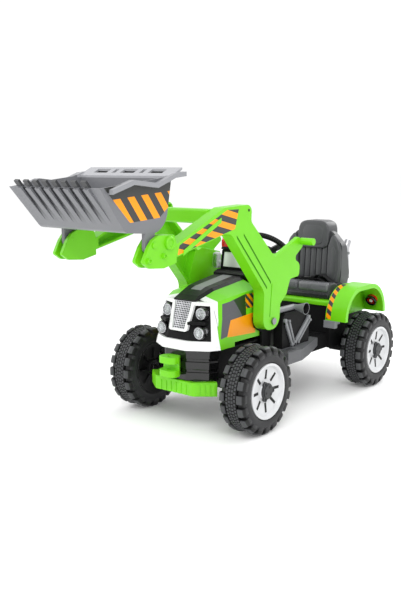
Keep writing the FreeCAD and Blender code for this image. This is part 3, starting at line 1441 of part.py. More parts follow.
def bucket():
    """The hollow bucket with flutes, teeth, a wavy rim, a slotted back flange and pivot lugs."""
    tip, heel, tail, top = [bucket_spot(shares) for shares in BUCKET_SHARES]
    soft = S.bucket_rise * BUCKET_CORNER_SHARES[0]
    round_back = S.bucket_rise * BUCKET_CORNER_SHARES[1]
    wide = S.bucket_top_side + S.overrun
    solid = new_body("BucketSide")
    pad(outline(solid, "YZ_Plane", [tip, heel + (soft,), tail + (round_back,), top], -wide), wide * 2)
    wall = S.bucket_wall
    hollow = new_body("BucketHollow")
    shift = [(wall * along, wall * up) for along, up in BUCKET_INSET_SHARES]
    inner = [(tip[0] + shift[0][0], tip[1] + shift[0][1]),
             (heel[0] + shift[1][0], heel[1] + shift[1][1], soft),
             (tail[0] + shift[2][0], tail[1] + shift[2][1], round_back),
             (top[0] + shift[3][0], top[1] + shift[3][1]),
             (tip[0] + shift[0][0], top[1] + shift[3][1])]
    pad(outline(hollow, "YZ_Plane", inner, -wide), wide * 2)
    shell_parts = []
    for side, inset in ((solid, ZERO), (hollow, wall)):
        flare = new_body("BucketFlare")
        high = S.bucket_bottom + S.bucket_back_rise
        low_side = S.bucket_bottom_side - inset
        top_side = S.bucket_top_side - inset
        rise = high + S.overrun * 2
        face = [(-low_side, S.bucket_bottom - S.overrun), (low_side, S.bucket_bottom - S.overrun),
                (top_side, rise), (-top_side, rise)]
        ahead = tip[0] - S.bucket_lip
        pad(outline(flare, "XZ_Plane", face, -(top[0] + S.bucket_lip)), top[0] - ahead + S.bucket_lip)
        shell_parts.append(common(side, flare))
    shell = cut(*shell_parts)

    extras = []
    back_low = top[1] - S.bucket_flange_thick
    flange = new_body("BucketFlange")
    edge = top[0] + S.bucket_flange
    slant = [(top[0] - wall, back_low), (edge, back_low + S.bucket_flange_lift),
             (edge, top[1] + S.bucket_flange_lift), (top[0] - wall, top[1])]
    pad(outline(flange, "YZ_Plane", slant, -S.bucket_top_side), S.bucket_top_side * 2)
    slots = []
    for centre, width in FLANGE_SLOT_SHARES:
        middle = S.bucket_top_side * centre
        half = S.bucket_top_side * width / 2
        slots.append(block((middle - half, middle + half),
                           (top[0] + S.bucket_flange * FLANGE_SLOT_SPAN_SHARES[0],
                            top[0] + S.bucket_flange * FLANGE_SLOT_SPAN_SHARES[1]),
                           (back_low - S.overrun, top[1] + S.bucket_flange_lift + S.overrun)))
    extras.append(cut(flange, *slots))
    rim = new_body("BucketRim")
    crest = [bucket_spot(shares) for shares in RIM_SHARES]
    ridge = crest + [(along, up - S.rim_flange_thick) for along, up in reversed(crest)]
    rim_start = S.bucket_top_side - wall
    pad(outline(rim, "YZ_Plane", ridge, rim_start), S.rim_flange_width)
    extras += [rim, mirrored(rim)]
    lug = new_body("BucketLug")
    spot = (FRONT + S.bucket_pin_back, S.bucket_pin_height)
    middle = S.arm_side + S.side_play + S.arm_thick / 2
    reach = S.bucket_lug
    foot = S.bucket_bottom + wall * LUG_ROOT_SHARE
    shape = [(spot[0] - reach, foot), (spot[0] - reach, spot[1] - reach, reach / 2),
             (spot[0] + reach, spot[1] - reach, reach / 2), (spot[0] + reach, foot)]
    lug_start = middle - S.bucket_lug_thick / 2
    pad(outline(lug, "YZ_Plane", shape, lug_start), S.bucket_lug_thick)
    bore = rounds(lug, "YZ_Plane", [spot + (S.bucket_pin_radius + S.running_fit,)], lug_start - S.overrun)
    pocket(bore, S.bucket_lug_thick + S.overrun * 2, along_normal=True)
    extras += [lug, mirrored(lug)]
    first = -S.flute_pitch * (FLUTE_COUNT - 1) / 2
    flutes = []
    for index in range(FLUTE_COUNT):
        across = first + S.flute_pitch * index
        tooth = block((across - S.tooth_width / 2, across + S.tooth_width / 2), (ZERO, S.tooth_length),
                      (ZERO, S.tooth_thick))
        extras.append(plate_frame(tooth, -S.tooth_length * TOOTH_START_SHARE, ZERO))
        rib = new_body("PlateRib")
        wedge = [(ZERO, -S.plate_rib), (S.flute_length, ZERO), (S.flute_length, wall / 2), (ZERO, wall / 2)]
        pad(outline(rib, "YZ_Plane", wedge, across - S.tooth_width / 2), S.tooth_width)
        extras.append(plate_frame(rib, ZERO, ZERO))
        if index:
            between = across - S.flute_pitch / 2
            flute = block((between - S.flute_width / 2, between + S.flute_width / 2), (ZERO, S.flute_length),
                          (ZERO, S.flute_depth * 3))
            flutes.append(plate_frame(flute, -S.overrun, -S.flute_depth * 2, -FLUTE_FADE_DEG))
    node("bucket", cut(fuse(shell, *extras), group(*flutes)))


# Sides

def engine_spot(shares):
    """A place on the engine cover's side view, in shares of its length and rise."""
    start = FRONT + S.engine_back
    return (start + S.engine_length * shares[0], S.foot_top + S.engine_rise * shares[1])


def sides():
    """Footrests, dummy engine covers and pipes, and the accelerator pedal."""
    start = FRONT + S.foot_back
    end = start + S.foot_length
    step = new_body("Footrest")
    bend = start + S.foot_length * FOOT_BEVEL_SHARES[0]
    tail_side = S.tub_mid_side + (S.foot_side - S.tub_mid_side) * FOOT_BEVEL_SHARES[1]
    plan = [(S.tub_mid_side, start), (S.foot_side, start), (S.foot_side, bend), (tail_side, end),
            (S.tub_mid_side, end)]
    low = S.foot_top - S.foot_drop
    pad(outline(step, "XY_Plane", plan, low), S.foot_drop)
    slope = [(start + S.foot_length * FOOT_SLOPE_SHARES[0], low - S.overrun),
             (end + S.overrun, low - S.overrun), (end + S.overrun, low + S.foot_drop * FOOT_SLOPE_SHARES[1])]
    pocket(outline(step, "YZ_Plane", slope, S.tub_mid_side - S.overrun),
           S.foot_side - S.tub_mid_side + S.overrun * 2, along_normal=True)
    hollow = [(S.tub_mid_side + S.wall, start + S.wall), (S.foot_side - S.wall, start + S.wall),
              (S.foot_side - S.wall, bend - S.wall), (tail_side - S.wall, end - S.wall),
              (S.tub_mid_side + S.wall, end - S.wall)]
    pocket(outline(step, "XY_Plane", hollow, low - S.overrun), S.foot_drop - S.wall + S.overrun,
           along_normal=True)
    pin_spot = (FRONT + S.pedal_back, S.foot_top + S.pedal_lift)
    ears = []
    near = -S.pedal_side + S.side_play
    far = -S.pedal_side - S.pedal_width - S.side_play - S.pedal_ear
    for across in (near, far):
        ear = block((across, across + S.pedal_ear), (pin_spot[0] - S.pedal_lift, pin_spot[0] + S.pedal_lift),
                    (S.foot_top, S.foot_top + S.pedal_lift * 2))
        ears.append(cut(ear, rod(LEFT, S.pedal_pin + S.running_fit, S.pedal_ear + S.overrun * 2,
                                 across - S.overrun, *pin_spot)))
    tread_start = S.tub_mid_side + S.engine_depth + S.engine_rib + S.tread_margin
    tread = block((tread_start, S.foot_side - S.tread_margin), (start + S.tread_margin, bend),
                  (S.foot_top - S.tread_rise, S.foot_top + S.tread_rise))
    node("footrests", group(fuse(step, tread), fuse(mirrored(step), *ears)))

    pedal = new_body("Pedal")
    top = S.foot_top + S.pedal_lift
    toe = pin_spot[0] - S.pedal_length
    rise = top + S.pedal_rise
    half = S.pedal_thick / 2
    profile = [(pin_spot[0], top - half), (toe, rise - half), (toe, rise + half), (pin_spot[0], top + half)]
    pad(outline(pedal, "YZ_Plane", profile, -S.pedal_side - S.pedal_width), S.pedal_width)
    barrel = rod(LEFT, S.pedal_thick, S.pedal_width, -S.pedal_side - S.pedal_width, *pin_spot)
    pin = rod(LEFT, S.pedal_pin, S.pedal_width + S.pedal_ear * 2 + S.side_play * 2, far, *pin_spot)
    node("accelerator_pedal", fuse(pedal, barrel, pin))

    engine = new_body("Engine")
    inside = S.tub_mid_side
    high = S.foot_top + S.engine_rise
    shape = [engine_spot(shares) for shares in ENGINE_SHARES]
    pad(outline(engine, "YZ_Plane", shape, inside), S.engine_depth)
    outer = inside + S.engine_depth
    for ends in STRUT_SHARES:
        spots = [engine_spot(shares) for shares in ends]
        width = S.engine_rib
        strut = [(spots[0][0] - width, spots[0][1]), (spots[0][0] + width, spots[0][1]),
                 (spots[1][0] + width, spots[1][1]), (spots[1][0] - width, spots[1][1])]
        pad(outline(engine, "YZ_Plane", strut, outer), S.engine_rib)
    node("engine_covers", group(engine, mirrored(engine)))
    centre = inside + S.engine_depth / 2
    pipe_up = high + S.pipe_radius
    tube = rod(BACKWARD, S.pipe_radius, S.pipe_length, centre, FRONT + S.pipe_back, pipe_up)
    mouth_back = FRONT + S.pipe_back + S.pipe_length
    elbow = doc.addObject("Part::Sphere", "Elbow")
    bind(elbow, "Radius", S.pipe_radius)
    place(elbow, centre, mouth_back, pipe_up)
    stub_length = S.engine_depth / 2
    stub = rod(LEFT, S.pipe_radius, stub_length, centre, mouth_back, pipe_up)
    throat = centre + stub_length
    flare = cone(LEFT, S.pipe_radius, S.mouth_radius, S.mouth_reach, throat, mouth_back, pipe_up)
    hole = cone(LEFT, S.pipe_bore, S.mouth_radius - S.wall / 2, S.mouth_reach, throat, mouth_back, pipe_up)
    pipe = cut(fuse(tube, elbow, stub, flare), hole)
    node("side_pipes", group(pipe, mirrored(pipe)))


def lever_spot():
    """The drive lever's pivot in the side view."""
    return (FRONT + S.lever_back, S.step_height + S.lever_hub + S.side_play)


def lever_cheeks():
    """The two cheeks that hold the drive lever, moulded on the cockpit floor."""
    spot = lever_spot()
    middle = -S.lever_side
    half = S.lever_hub_width / 2
    cheeks = []
    for across in (middle - half - S.side_play - S.lever_cheek, middle + half + S.side_play):
        cheek = block((across, across + S.lever_cheek), (spot[0] - S.lever_hub, spot[0] + S.lever_hub),
                      (S.step_height, spot[1] + S.lever_hub))
        cheeks.append(cut(cheek, rod(LEFT, S.lever_radius + S.running_fit, S.lever_cheek + S.overrun * 2,
                                     across - S.overrun, *spot)))
    return cheeks


def lever():
    """The drive lever, which rocks between its cheeks."""
    spot = lever_spot()
    middle = -S.lever_side
    half = S.lever_hub_width / 2
    hub = rod(LEFT, S.lever_hub, S.lever_hub_width, middle - half, *spot)
    reach = S.lever_cheek + S.side_play
    pin = rod(LEFT, S.lever_radius, S.lever_hub_width + reach * 2, middle - half - reach, *spot)
    stick = rod(UP, S.lever_radius, S.lever_length, middle, *spot)
    knob = doc.addObject("Part::Sphere", "Knob")
    bind(knob, "Radius", S.lever_knob)
    place(knob, middle, spot[0], spot[1] + S.lever_length)
    node("drive_lever", fuse(hub, pin, stick, knob))


# Seat and rear

def seat():
    """The seat tray, seat base, backrest with headrest, and lap belt."""
    front = FRONT + S.tray_front_back
    tray_top = S.tray_height + S.tray_thick
    tray = new_body("Tray")
    side_view = [(front, S.tray_height), (front + S.tray_length, S.tray_height),
                 (front + S.tray_length, tray_top, S.tray_corner), (front, tray_top, S.tray_corner)]
    pad(outline(tray, "YZ_Plane", side_view, -S.tray_side), S.tray_side * 2)
    node("seat_tray", tray)

    base_front = FRONT + S.seat_front_back
    base_back = base_front + S.seat_length
    crest = tray_top + S.seat_rise
    flat = crest - S.seat_top_drop
    flat_start = FRONT + S.belt_back - S.belt_thick
    base = new_body("SeatBase")
    profile = [(base_front, tray_top), (base_back, tray_top), (base_back, flat), (flat_start, flat),
               (flat_start - S.seat_corner, crest, S.seat_corner / 2), (base_front, crest, S.seat_corner)]
    pad(outline(base, "YZ_Plane", profile, -S.seat_side), S.seat_side * 2)
    skin = S.wall * 2
    hollow = [(-S.seat_side + skin, base_front + skin), (S.seat_side - skin, base_front + skin),
              (S.seat_side - skin, base_back - skin), (-S.seat_side + skin, base_back - skin)]
    pocket(outline(base, "XY_Plane", hollow, tray_top), flat - tray_top - skin, along_normal=True)
    node("seat_base", base)

    start = FRONT + S.backrest_back
    high = tray_top + S.backrest_rise
    face = [(S.backrest_side * across, tray_top + S.backrest_rise * up, S.backrest_side * turn)
            if turn else (S.backrest_side * across, tray_top + S.backrest_rise * up)
            for across, up, turn in BACKREST_SHARES]
    face += [(-spot[0],) + spot[1:] for spot in reversed(face)]
    panel = new_body("BackrestFace")
    depth = S.backrest_depth
    pad(outline(panel, "XZ_Plane", face, -(start + depth + S.overrun)), depth + S.overrun * 2)
    side_face = [(start, tray_top), (start + depth * BACKREST_DEPTH_SHARES[0], tray_top),
                 (start + depth, tray_top + S.backrest_rise * BACKREST_DEPTH_SHARES[1], S.backrest_lean),
                 (start + depth * BACKREST_DEPTH_SHARES[2], high), (start + S.backrest_lean, high)]
    spine = new_body("BackrestSide")
    wide = S.backrest_side + S.overrun
    pad(outline(spine, "YZ_Plane", side_face, -wide), wide * 2)
    flutes = []
    for share in BACK_FLUTE_SHARES:
        middle = S.backrest_side * share
        flutes.append(block((middle - S.flute_groove / 2, middle + S.flute_groove / 2),
                            (start - S.overrun, start + S.backrest_lean),
                            (tray_top + S.seat_rise, S.headrest_bottom)))
    rest_front = start + S.backrest_lean
    pillow = new_body("Headrest")
    soft = S.headrest_side / 3
    rest_top = S.headrest_bottom + S.headrest_rise
    shape = [(-S.headrest_side, S.headrest_bottom, soft), (S.headrest_side, S.headrest_bottom, soft),
             (S.headrest_side * HEADREST_TOP_SHARE, rest_top, soft),
             (-S.headrest_side * HEADREST_TOP_SHARE, rest_top, soft)]
    pad(outline(pillow, "XZ_Plane", shape, -(rest_front + S.headrest_depth)), S.headrest_depth)
    node("seat_back", fuse(cut(common(panel, spine), *flutes), pillow))

    strap_front = FRONT + S.belt_back
    strap = new_body("Belt")
    out = S.seat_side + S.belt_thick + S.side_play
    inn = S.seat_side + S.side_play
    bottom = tray_top + S.side_play
    low = flat + S.side_play
    band = [(-out, bottom), (-inn, bottom), (-inn, low), (inn, low), (inn, bottom), (out, bottom),
            (out, low + S.belt_thick), (-out, low + S.belt_thick)]
    pad(outline(strap, "XZ_Plane", band, -(strap_front + S.belt_width)), S.belt_width)
    node("lap_belt", strap)
    buckle = new_body("Buckle")
    top = low + S.belt_thick
    half = S.buckle_width / 2
    middle = strap_front + S.belt_width / 2
    soft = S.buckle_depth / 5
    shape = [(-half, middle - S.buckle_depth / 2, soft), (half, middle - S.buckle_depth / 2, soft),
             (half, middle + S.buckle_depth / 2, soft), (-half, middle + S.buckle_depth / 2, soft)]
    pad(outline(buckle, "XY_Plane", shape, top), S.buckle_thick)
    node("belt_buckle", buckle)


def rear():
    """Mudguards, tail lamps, stays and the exhaust stack."""
    centre = FRONT + S.guard_arch_back
    half = S.guard_arch_span / 2
    thick = S.guard_arch_thick
    bow = half * ARCH_BOW_SHARE
    arch = new_body("Mudguard")
    low, high = S.guard_arch_foot, S.guard_arch_top
    cheek = [(centre - half, low), (centre - half, high, bow), (centre + half, high, bow),
             (centre + half, low)]
    hoop = cheek + [(centre + half - thick, low), (centre + half - thick, high - thick, bow - thick),
                    (centre - half + thick, high - thick, bow - thick), (centre - half + thick, low)]
    pad(outline(arch, "YZ_Plane", hoop, S.tray_side), S.guard_arch_width)
    pad(outline(arch, "YZ_Plane", cheek, S.tray_side), S.guard_wall_thick)
    angle = math.radians(TAIL_LAMP_TILT_DEG)
    aim = Vector(0, math.cos(angle), math.sin(angle))
    inner_end, outer_end = [
        (centre + reach * math.cos(angle), S.tail_lamp_hub_height + reach * math.sin(angle))
        for reach in (S.tail_lamp_start, S.tail_lamp_start + S.tail_lamp_length)]
    lamp = rod(aim, S.tail_lamp_radius, S.tail_lamp_length, S.tail_lamp_side, *inner_end)
    lens = cone(aim, S.tail_lamp_radius, S.tail_lamp_radius * LENS_SHARE, S.wall, S.tail_lamp_side, *outer_end)
    light = fuse(lamp, lens)
    guard = cut(arch, lamp)
    node("mudguards", group(guard, mirrored(guard)))
    node("tail_lamps", group(light, mirrored(light)))

    start = FRONT + S.stay_back
    stay = new_body("Stay")
    side_view = [(start, low), (start, low - S.stay_drop), (start + S.stay_length / 2, low - S.stay_drop),
                 (start + S.stay_length / 2, low - S.stay_drop * STAY_STEP_SHARE),
                 (start + S.stay_length, low - S.stay_drop * STAY_STEP_SHARE), (start + S.stay_length, low)]
    pad(outline(stay, "YZ_Plane", side_view, S.tub_rear_side), S.stay_width)
    node("mudguard_stays", group(stay, mirrored(stay)))

    foot = S.tray_height + S.tray_thick
    back = FRONT + S.stack_back
    bend = foot + S.stack_rise
    lean = Vector(0, math.sin(angle), math.cos(angle))
    pipe = rod(UP, S.stack_radius, S.stack_rise, S.stack_side, back, foot)
    knee = doc.addObject("Part::Sphere", "Knee")
    bind(knee, "Radius", S.stack_radius)
    place(knee, S.stack_side, back, bend)
    spout = rod(lean, S.stack_radius, S.stack_bend, S.stack_side, back, bend)
    bore = rod(lean, S.stack_bore, S.stack_bend + S.overrun, S.stack_side, back, bend)
    node("exhaust_stack", cut(fuse(pipe, knee, spout), bore))


def power():
    """The battery, the drive units and the rear axle."""
    floor = S.floor_height + S.wall
    start = FRONT + S.battery_back
    half = S.battery_width / 2
    node("battery", block((-half, half), (start, start + S.battery_depth), (floor, floor + S.battery_height)))
    wheel = (REAR, AXLE)
    inside = S.tub_rear_side
    case = rod(LEFT, S.gearbox_radius, S.gearbox_thick, inside, *wheel)
    lobe = (REAR - S.motor_offset, S.floor_height - S.motor_radius - S.wall / 2)
    nose = rod(LEFT, S.motor_radius + S.wall, S.gearbox_thick, inside, *lobe)
    motor = rod(LEFT, S.motor_radius, S.motor_length, inside - S.motor_length, *lobe)
    bore_radius = S.axle_radius + S.running_fit
    bore = rod(LEFT, bore_radius, S.gearbox_thick + S.overrun * 2, inside - S.overrun, *wheel)
    unit = cut(fuse(case, nose, motor), bore)
    node("drive_units", group(unit, mirrored(unit)))
    end = TRACK + S.tyre_width / 2 - S.dish_depth + S.cap_depth / 3
    node("rear_axle", rod(LEFT, S.axle_radius, end * 2, -end, *wheel))


def check_and_write():
    """Recompute, refuse a failed or empty piece, and write every piece."""
    doc.recompute()
    for thing in doc.Objects:
        if "Invalid" in thing.State or "Error" in thing.State:
            raise ValueError("Failed: %s %s" % (thing.Name, thing.State))
    os.makedirs("parts", exist_ok=True)
    for label, thing in NODES.items():
        shape = thing.Shape
        if shape.isNull() or not shape.isValid() or not shape.Solids:
            raise ValueError("Not a sound solid: " + label)
    for label, thing in NODES.items():
        thing.Shape.exportStep("parts/%s.step" % label)


wheels()
front_axle()
steering()
tub()
fascia()
bumper()
bonnet()
cockpit()
loader()
bucket()
sides()
lever()
seat()
rear()
power()
check_and_write()
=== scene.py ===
"""Looks of a ride-on tractor toy with a front loader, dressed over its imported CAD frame.

Lengths are in metres, but places and outlines that go through spot are in millimetres. Forward is -Y, up is
+Z, and +X is the driver's left. Each sub-assembly is a class that builds its own meshes and dresses its CAD
nodes.
"""

import logging
import math
from dataclasses import dataclass
from enum import Enum
from typing import Iterable, Sequence

import bmesh
import bpy
from mathutils import Matrix, Vector

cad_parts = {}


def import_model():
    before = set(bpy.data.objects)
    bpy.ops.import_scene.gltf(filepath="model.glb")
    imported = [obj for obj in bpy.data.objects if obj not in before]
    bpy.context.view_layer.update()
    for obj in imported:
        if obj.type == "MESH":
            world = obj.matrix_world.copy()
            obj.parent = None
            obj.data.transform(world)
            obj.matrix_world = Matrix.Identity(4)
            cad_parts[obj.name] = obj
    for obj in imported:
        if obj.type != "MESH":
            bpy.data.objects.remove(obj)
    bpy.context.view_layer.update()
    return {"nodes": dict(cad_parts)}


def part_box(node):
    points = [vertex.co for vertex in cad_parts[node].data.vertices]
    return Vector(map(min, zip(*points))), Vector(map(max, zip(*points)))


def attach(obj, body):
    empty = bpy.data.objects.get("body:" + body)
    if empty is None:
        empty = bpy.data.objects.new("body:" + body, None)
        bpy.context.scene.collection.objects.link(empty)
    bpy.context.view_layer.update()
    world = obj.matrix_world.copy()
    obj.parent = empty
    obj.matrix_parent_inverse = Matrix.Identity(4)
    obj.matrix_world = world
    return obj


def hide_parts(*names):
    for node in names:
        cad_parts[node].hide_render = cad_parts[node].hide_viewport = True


LOG = logging.getLogger("tractor")
MM = 0.001
FRONT_AXLE_Y = -0.124253
SOFT_BEND = 60.0
LEFT = Vector((1.0, 0.0, 0.0))
BACK = Vector((0.0, 1.0, 0.0))
UP = Vector((0.0, 0.0, 1.0))

Pair = tuple[float, float]
Triple = tuple[float, float, float]
Colour = tuple[float, float, float, float]
Line = tuple[Pair, Pair]
Profile = tuple[Pair, ...]


def spot(x: float, behind: float, up: float) -> Vector:
    """A point given in millimetres: x, distance behind the front axle, and height."""
    return Vector((x * MM, behind * MM + FRONT_AXLE_Y, up * MM))


def flipped(outline: Sequence[Pair]) -> list[Pair]:
    """The mirror image of half an outline, run backwards so that it closes the outline."""
    return [(-across, up) for across, up in reversed(outline)]


def tint(code: str) -> Colour:
    """Turns a colour code into a linear colour.

    Args:
        code: six hexadecimal digits, as on a colour card.

    Returns:
        Red, green, blue and one, for a colour socket.
    """
    parts = [int(code[start : start + 2], 16) / 255 for start in (0, 2, 4)]
    linear = [part / 12.92 if part <= 0.04045 else ((part + 0.055) / 1.055) ** 2.4 for part in parts]
    return (*linear, 1.0)


class Value:
    """A number socket of a material, on which sums add Math nodes."""

    def __init__(self, paint: "Paint", socket: bpy.types.NodeSocket) -> None:
        """Keeps the socket and the paint that it belongs to."""
        self.paint = paint
        self.socket = socket

    def step(self, operation: str, *terms: "Value | float") -> "Value":
        """The result of one Math node over those terms."""
        return self.paint.value("ShaderNodeMath", {"operation": operation}, dict(enumerate(terms)))

    def __add__(self, other: "Value | float") -> "Value":
        """self + other."""
        return self.step("ADD", self, other)

    def __sub__(self, other: "Value | float") -> "Value":
        """self - other."""
        return self.step("SUBTRACT", self, other)

    def __rsub__(self, other: float) -> "Value":
        """other - self."""
        return self.step("SUBTRACT", other, self)

    def __mul__(self, other: "Value | float") -> "Value":
        """self * other."""
        return self.step("MULTIPLY", self, other)

    def __mod__(self, other: float) -> "Value":
        """The remainder, never below zero."""
        return self.step("FLOORED_MODULO", self, other)

    def __gt__(self, other: "Value | float") -> "Value":
        """One where self is the larger, else zero."""
        return self.step("GREATER_THAN", self, other)

    def __lt__(self, other: "Value | float") -> "Value":
        """One where self is the smaller, else zero."""
        return self.step("LESS_THAN", self, other)

    def __abs__(self) -> "Value":
        """The size without its sign."""
        return self.step("ABSOLUTE", self)

    __radd__ = __add__
    __rmul__ = __mul__

    def sine(self) -> "Value":
        """The sine of self."""
        return self.step("SINE", self)

    def ease(self, low: float, high: float) -> "Value":
        """Zero below low, one above high, and smooth between."""
        inputs = {0: self, 1: low, 2: high}
        return self.paint.value("ShaderNodeMapRange", {"interpolation_type": "SMOOTHSTEP"}, inputs)

    def between(self, low: float, high: float) -> "Value":
        """One where self lies between two limits, else zero."""
        return (self > low) * (self < high)


Layers = Sequence[tuple[Value, object]]


@dataclass(frozen=True)
class Side:
    """A surface point seen from the side: how far behind the front axle, and how high."""

    along: Value
    up: Value

    def under(self, line: Line, lift: float = 0.0) -> Value:
        """Splits the side view at a straight line.

        Args:
            line: two points of the line.
            lift: how far the line is raised.

        Returns:
            One below the line, else zero.
        """
        first, last = line
        slope = (last[1] - first[1]) / (last[0] - first[0])
        return self.up < (self.along - first[0]) * slope + (first[1] + lift)

    def over(self, line: Line, lift: float = 0.0) -> Value:
        """One above a line, else zero."""
        return 1 - self.under(line, lift)

    def square(self, centre: Pair) -> Value:
        """The square of the distance from a point of the side view."""
        reach, lift = self.along - centre[0], self.up - centre[1]
        return reach * reach + lift * lift


class Paint:
    """A material as it is mixed, with one Principled shader."""

    def __init__(self, name: str) -> None:
        """Starts an empty material.

        Args:
            name: the material's name.
        """
        self.material = bpy.data.materials.new(name)
        self.material.use_nodes = True
        self.tree = self.material.node_tree
        self.tree.nodes.clear()
        self.shader = self.node("ShaderNodeBsdfPrincipled")
        self.node("ShaderNodeOutputMaterial", sockets={"Surface": self.shader.outputs[0]})

    def node(self, kind: str, settings: dict | None = None, sockets: dict | None = None) -> bpy.types.Node:
        """Adds any node.

        Args:
            kind: the node's type.
            settings: its properties, set first.
            sockets: values or links of its inputs, by name or number.

        Returns:
            The new node.
        """
        node = self.tree.nodes.new(kind)
        for key, setting in (settings or {}).items():
            setattr(node, key, setting)
        self.feed(node, sockets or {})
        return node

    def feed(self, node: bpy.types.Node, sockets: dict) -> None:
        """Sets or links a node's inputs.

        Args:
            node: the node.
            sockets: values or links, by input name or number.
        """
        for key, given in sockets.items():
            source = given.socket if isinstance(given, Value) else given
            if isinstance(source, bpy.types.NodeSocket):
                self.tree.links.new(source, node.inputs[key])
            else:
                node.inputs[key].default_value = source

    def value(self, kind: str, settings: dict | None = None, sockets: dict | None = None) -> Value:
        """Adds a node and returns its first output as a value."""
        return Value(self, self.node(kind, settings, sockets).outputs[0])

    def place(self) -> bpy.types.NodeSocket:
        """The surface point in the object's own frame."""
        return self.node("ShaderNodeTexCoord").outputs["Object"]

    def axes(self) -> tuple[Value, Value, Value]:
        """The surface point's x, y and z."""
        parts = self.node("ShaderNodeSeparateXYZ", sockets={0: self.place()})
        return tuple(Value(self, socket) for socket in parts.outputs)

    def places(self) -> tuple[Value, Value, Value]:
        """The surface point's x, its distance behind the front axle and its height."""
        x, y, z = self.axes()
        return x, y - FRONT_AXLE_Y, z

    def noise(self, scale: float, detail: float = 2.0, stretch: Triple = (1.0, 1.0, 1.0)) -> Value:
        """Smooth noise over the surface.

        Args:
            scale: cells in a metre.
            detail: octaves.
            stretch: a factor on the scale along each axis.

        Returns:
            A value from zero to one.
        """
        where = self.node("ShaderNodeMapping", sockets={"Vector": self.place(), "Scale": stretch})
        return self.value(
            "ShaderNodeTexNoise", sockets={"Vector": where.outputs[0], "Scale": scale, "Detail": detail}
        )

    def cells(self, scale: float) -> Value:
        """The distance to the nearest of scattered points, scale of them in a metre."""
        return self.value("ShaderNodeTexVoronoi", sockets={"Vector": self.place(), "Scale": scale})

    def blend(self, factor: Value | float, low: object, high: object) -> bpy.types.NodeSocket:
        """Mixes two colours.

        Args:
            factor: zero for the first, one for the second.
            low: the first colour or its socket.
            high: the second colour or its socket.

        Returns:
            The mixed colour's socket.
        """
        mixed = self.node("ShaderNodeMix", {"data_type": "RGBA"}, {0: factor, 6: low, 7: high})
        return mixed.outputs[2]

    def relief(self, height: Value, depth: float, strength: float = 1.0) -> None:
        """Raises the surface's normals by a height.

        Args:
            height: from zero to one.
            depth: what one stands for, in metres.
            strength: how much of it shows.
        """
        bump = self.node(
            "ShaderNodeBump", sockets={"Height": height, "Distance": depth, "Strength": strength}
        )
        self.feed(self.shader, {"Normal": bump.outputs[0]})

    def stack(self, colour: bpy.types.NodeSocket, layers: Layers) -> bpy.types.NodeSocket:
        """Lays colours over a colour.

        Args:
            colour: what lies underneath.
            layers: where each one covers, and its colour code, colour or socket.

        Returns:
            The uppermost colour's socket.
        """
        for cover, shade in layers:
            colour = self.blend(cover, colour, tint(shade) if isinstance(shade, str) else shade)
        return colour


@dataclass(frozen=True)
class Surface:
    """What every finish has: its material's name, its slot in the record and its colour."""

    name: str
    slot: str
    colour: str

    def cover(self, paint: Paint) -> None:
        """Mixes the finish into an empty material; each kind of finish does it in its own way."""
        raise NotImplementedError

    def mix(self) -> bpy.types.Material:
        """Builds the material.

        Returns:
            The finished material.
        """
        paint = Paint(self.name)
        self.cover(paint)
        return paint.material

    def shade(self, share: float, lift: float = 0.0) -> Colour:
        """The colour times a share, plus a little."""
        return (*[min(1.0, part * share + lift) for part in tint(self.colour)[:3]], 1.0)


@dataclass(frozen=True)
class Moulding(Surface):
    """Moulded plastic, tinted right through, with eroded grain, soft flow marks and a few rubbed streaks."""

    roughness: float = 0.4
    grain: float = 1500.0
    grain_depth: float = 0.00012
    cloud: float = 0.1
    rubbed: float = 0.12
    coat: float = 0.0
    specular: float = 0.36
    cloud_scale: float = 14.0
    cloud_lift: float = 0.004
    streak_scale: float = 60.0
    streak_stretch: Triple = (1.0, 0.25, 3.0)
    streak_fade: Pair = (0.62, 0.78)
    patch_scale: float = 35.0
    patch_depth: float = 0.12
    grain_shown: float = 0.35
    fine_share: float = 0.6
    coarse_share: float = 0.4
    coat_roughness: float = 0.06

    def layers(self, paint: Paint) -> Layers:
        """The printed films and shades over the colour, lowest first; plain mouldings have none."""
        return ()

    def cover(self, paint: Paint) -> None:
        """Mixes the clouded colour under its films, the rubbed gloss and the grain.

        Args:
            paint: the empty material.
        """
        streaks = paint.noise(self.streak_scale, 4.0, self.streak_stretch).ease(*self.streak_fade)
        dark, pale = self.shade(1 - self.cloud), self.shade(1 + self.cloud, self.cloud_lift)
        colour = paint.blend(paint.noise(self.cloud_scale, 3.0), dark, pale)
        patches = (paint.noise(self.patch_scale, 3.0) - 0.5) * self.patch_depth
        paint.feed(
            paint.shader,
            {
                "Base Color": paint.stack(colour, self.layers(paint)),
                "Roughness": self.roughness + patches + streaks * self.rubbed,
                "Specular IOR Level": self.specular,
                "Coat Weight": self.coat,
                "Coat Roughness": self.coat_roughness,
            },
        )
        coarse = paint.noise(self.grain * self.coarse_share) * self.coarse_share
        grain = paint.cells(self.grain) * self.fine_share + coarse
        paint.relief(grain, self.grain_depth, self.grain_shown)


class Film:
    """Printed warning film: orange diagonal bars on charcoal."""

    ORANGE = tint("F29700")
    CHARCOAL = tint("3A3B3A")

    @classmethod
    def bars(cls, paint: Paint, along: Value, up: Value, lean: float, pitch: float) -> bpy.types.NodeSocket:
        """The bars' colour.

        Args:
            paint: the material being mixed.
            along: the place across the film.
            up: the place up the film.
            lean: across for each step up, in metres a metre.
            pitch: from bar to bar, measured across.

        Returns:
            The colour's socket.
        """
        wave = (along + up * lean) % pitch
        return paint.blend(wave > pitch * 0.5, cls.CHARCOAL, cls.ORANGE)


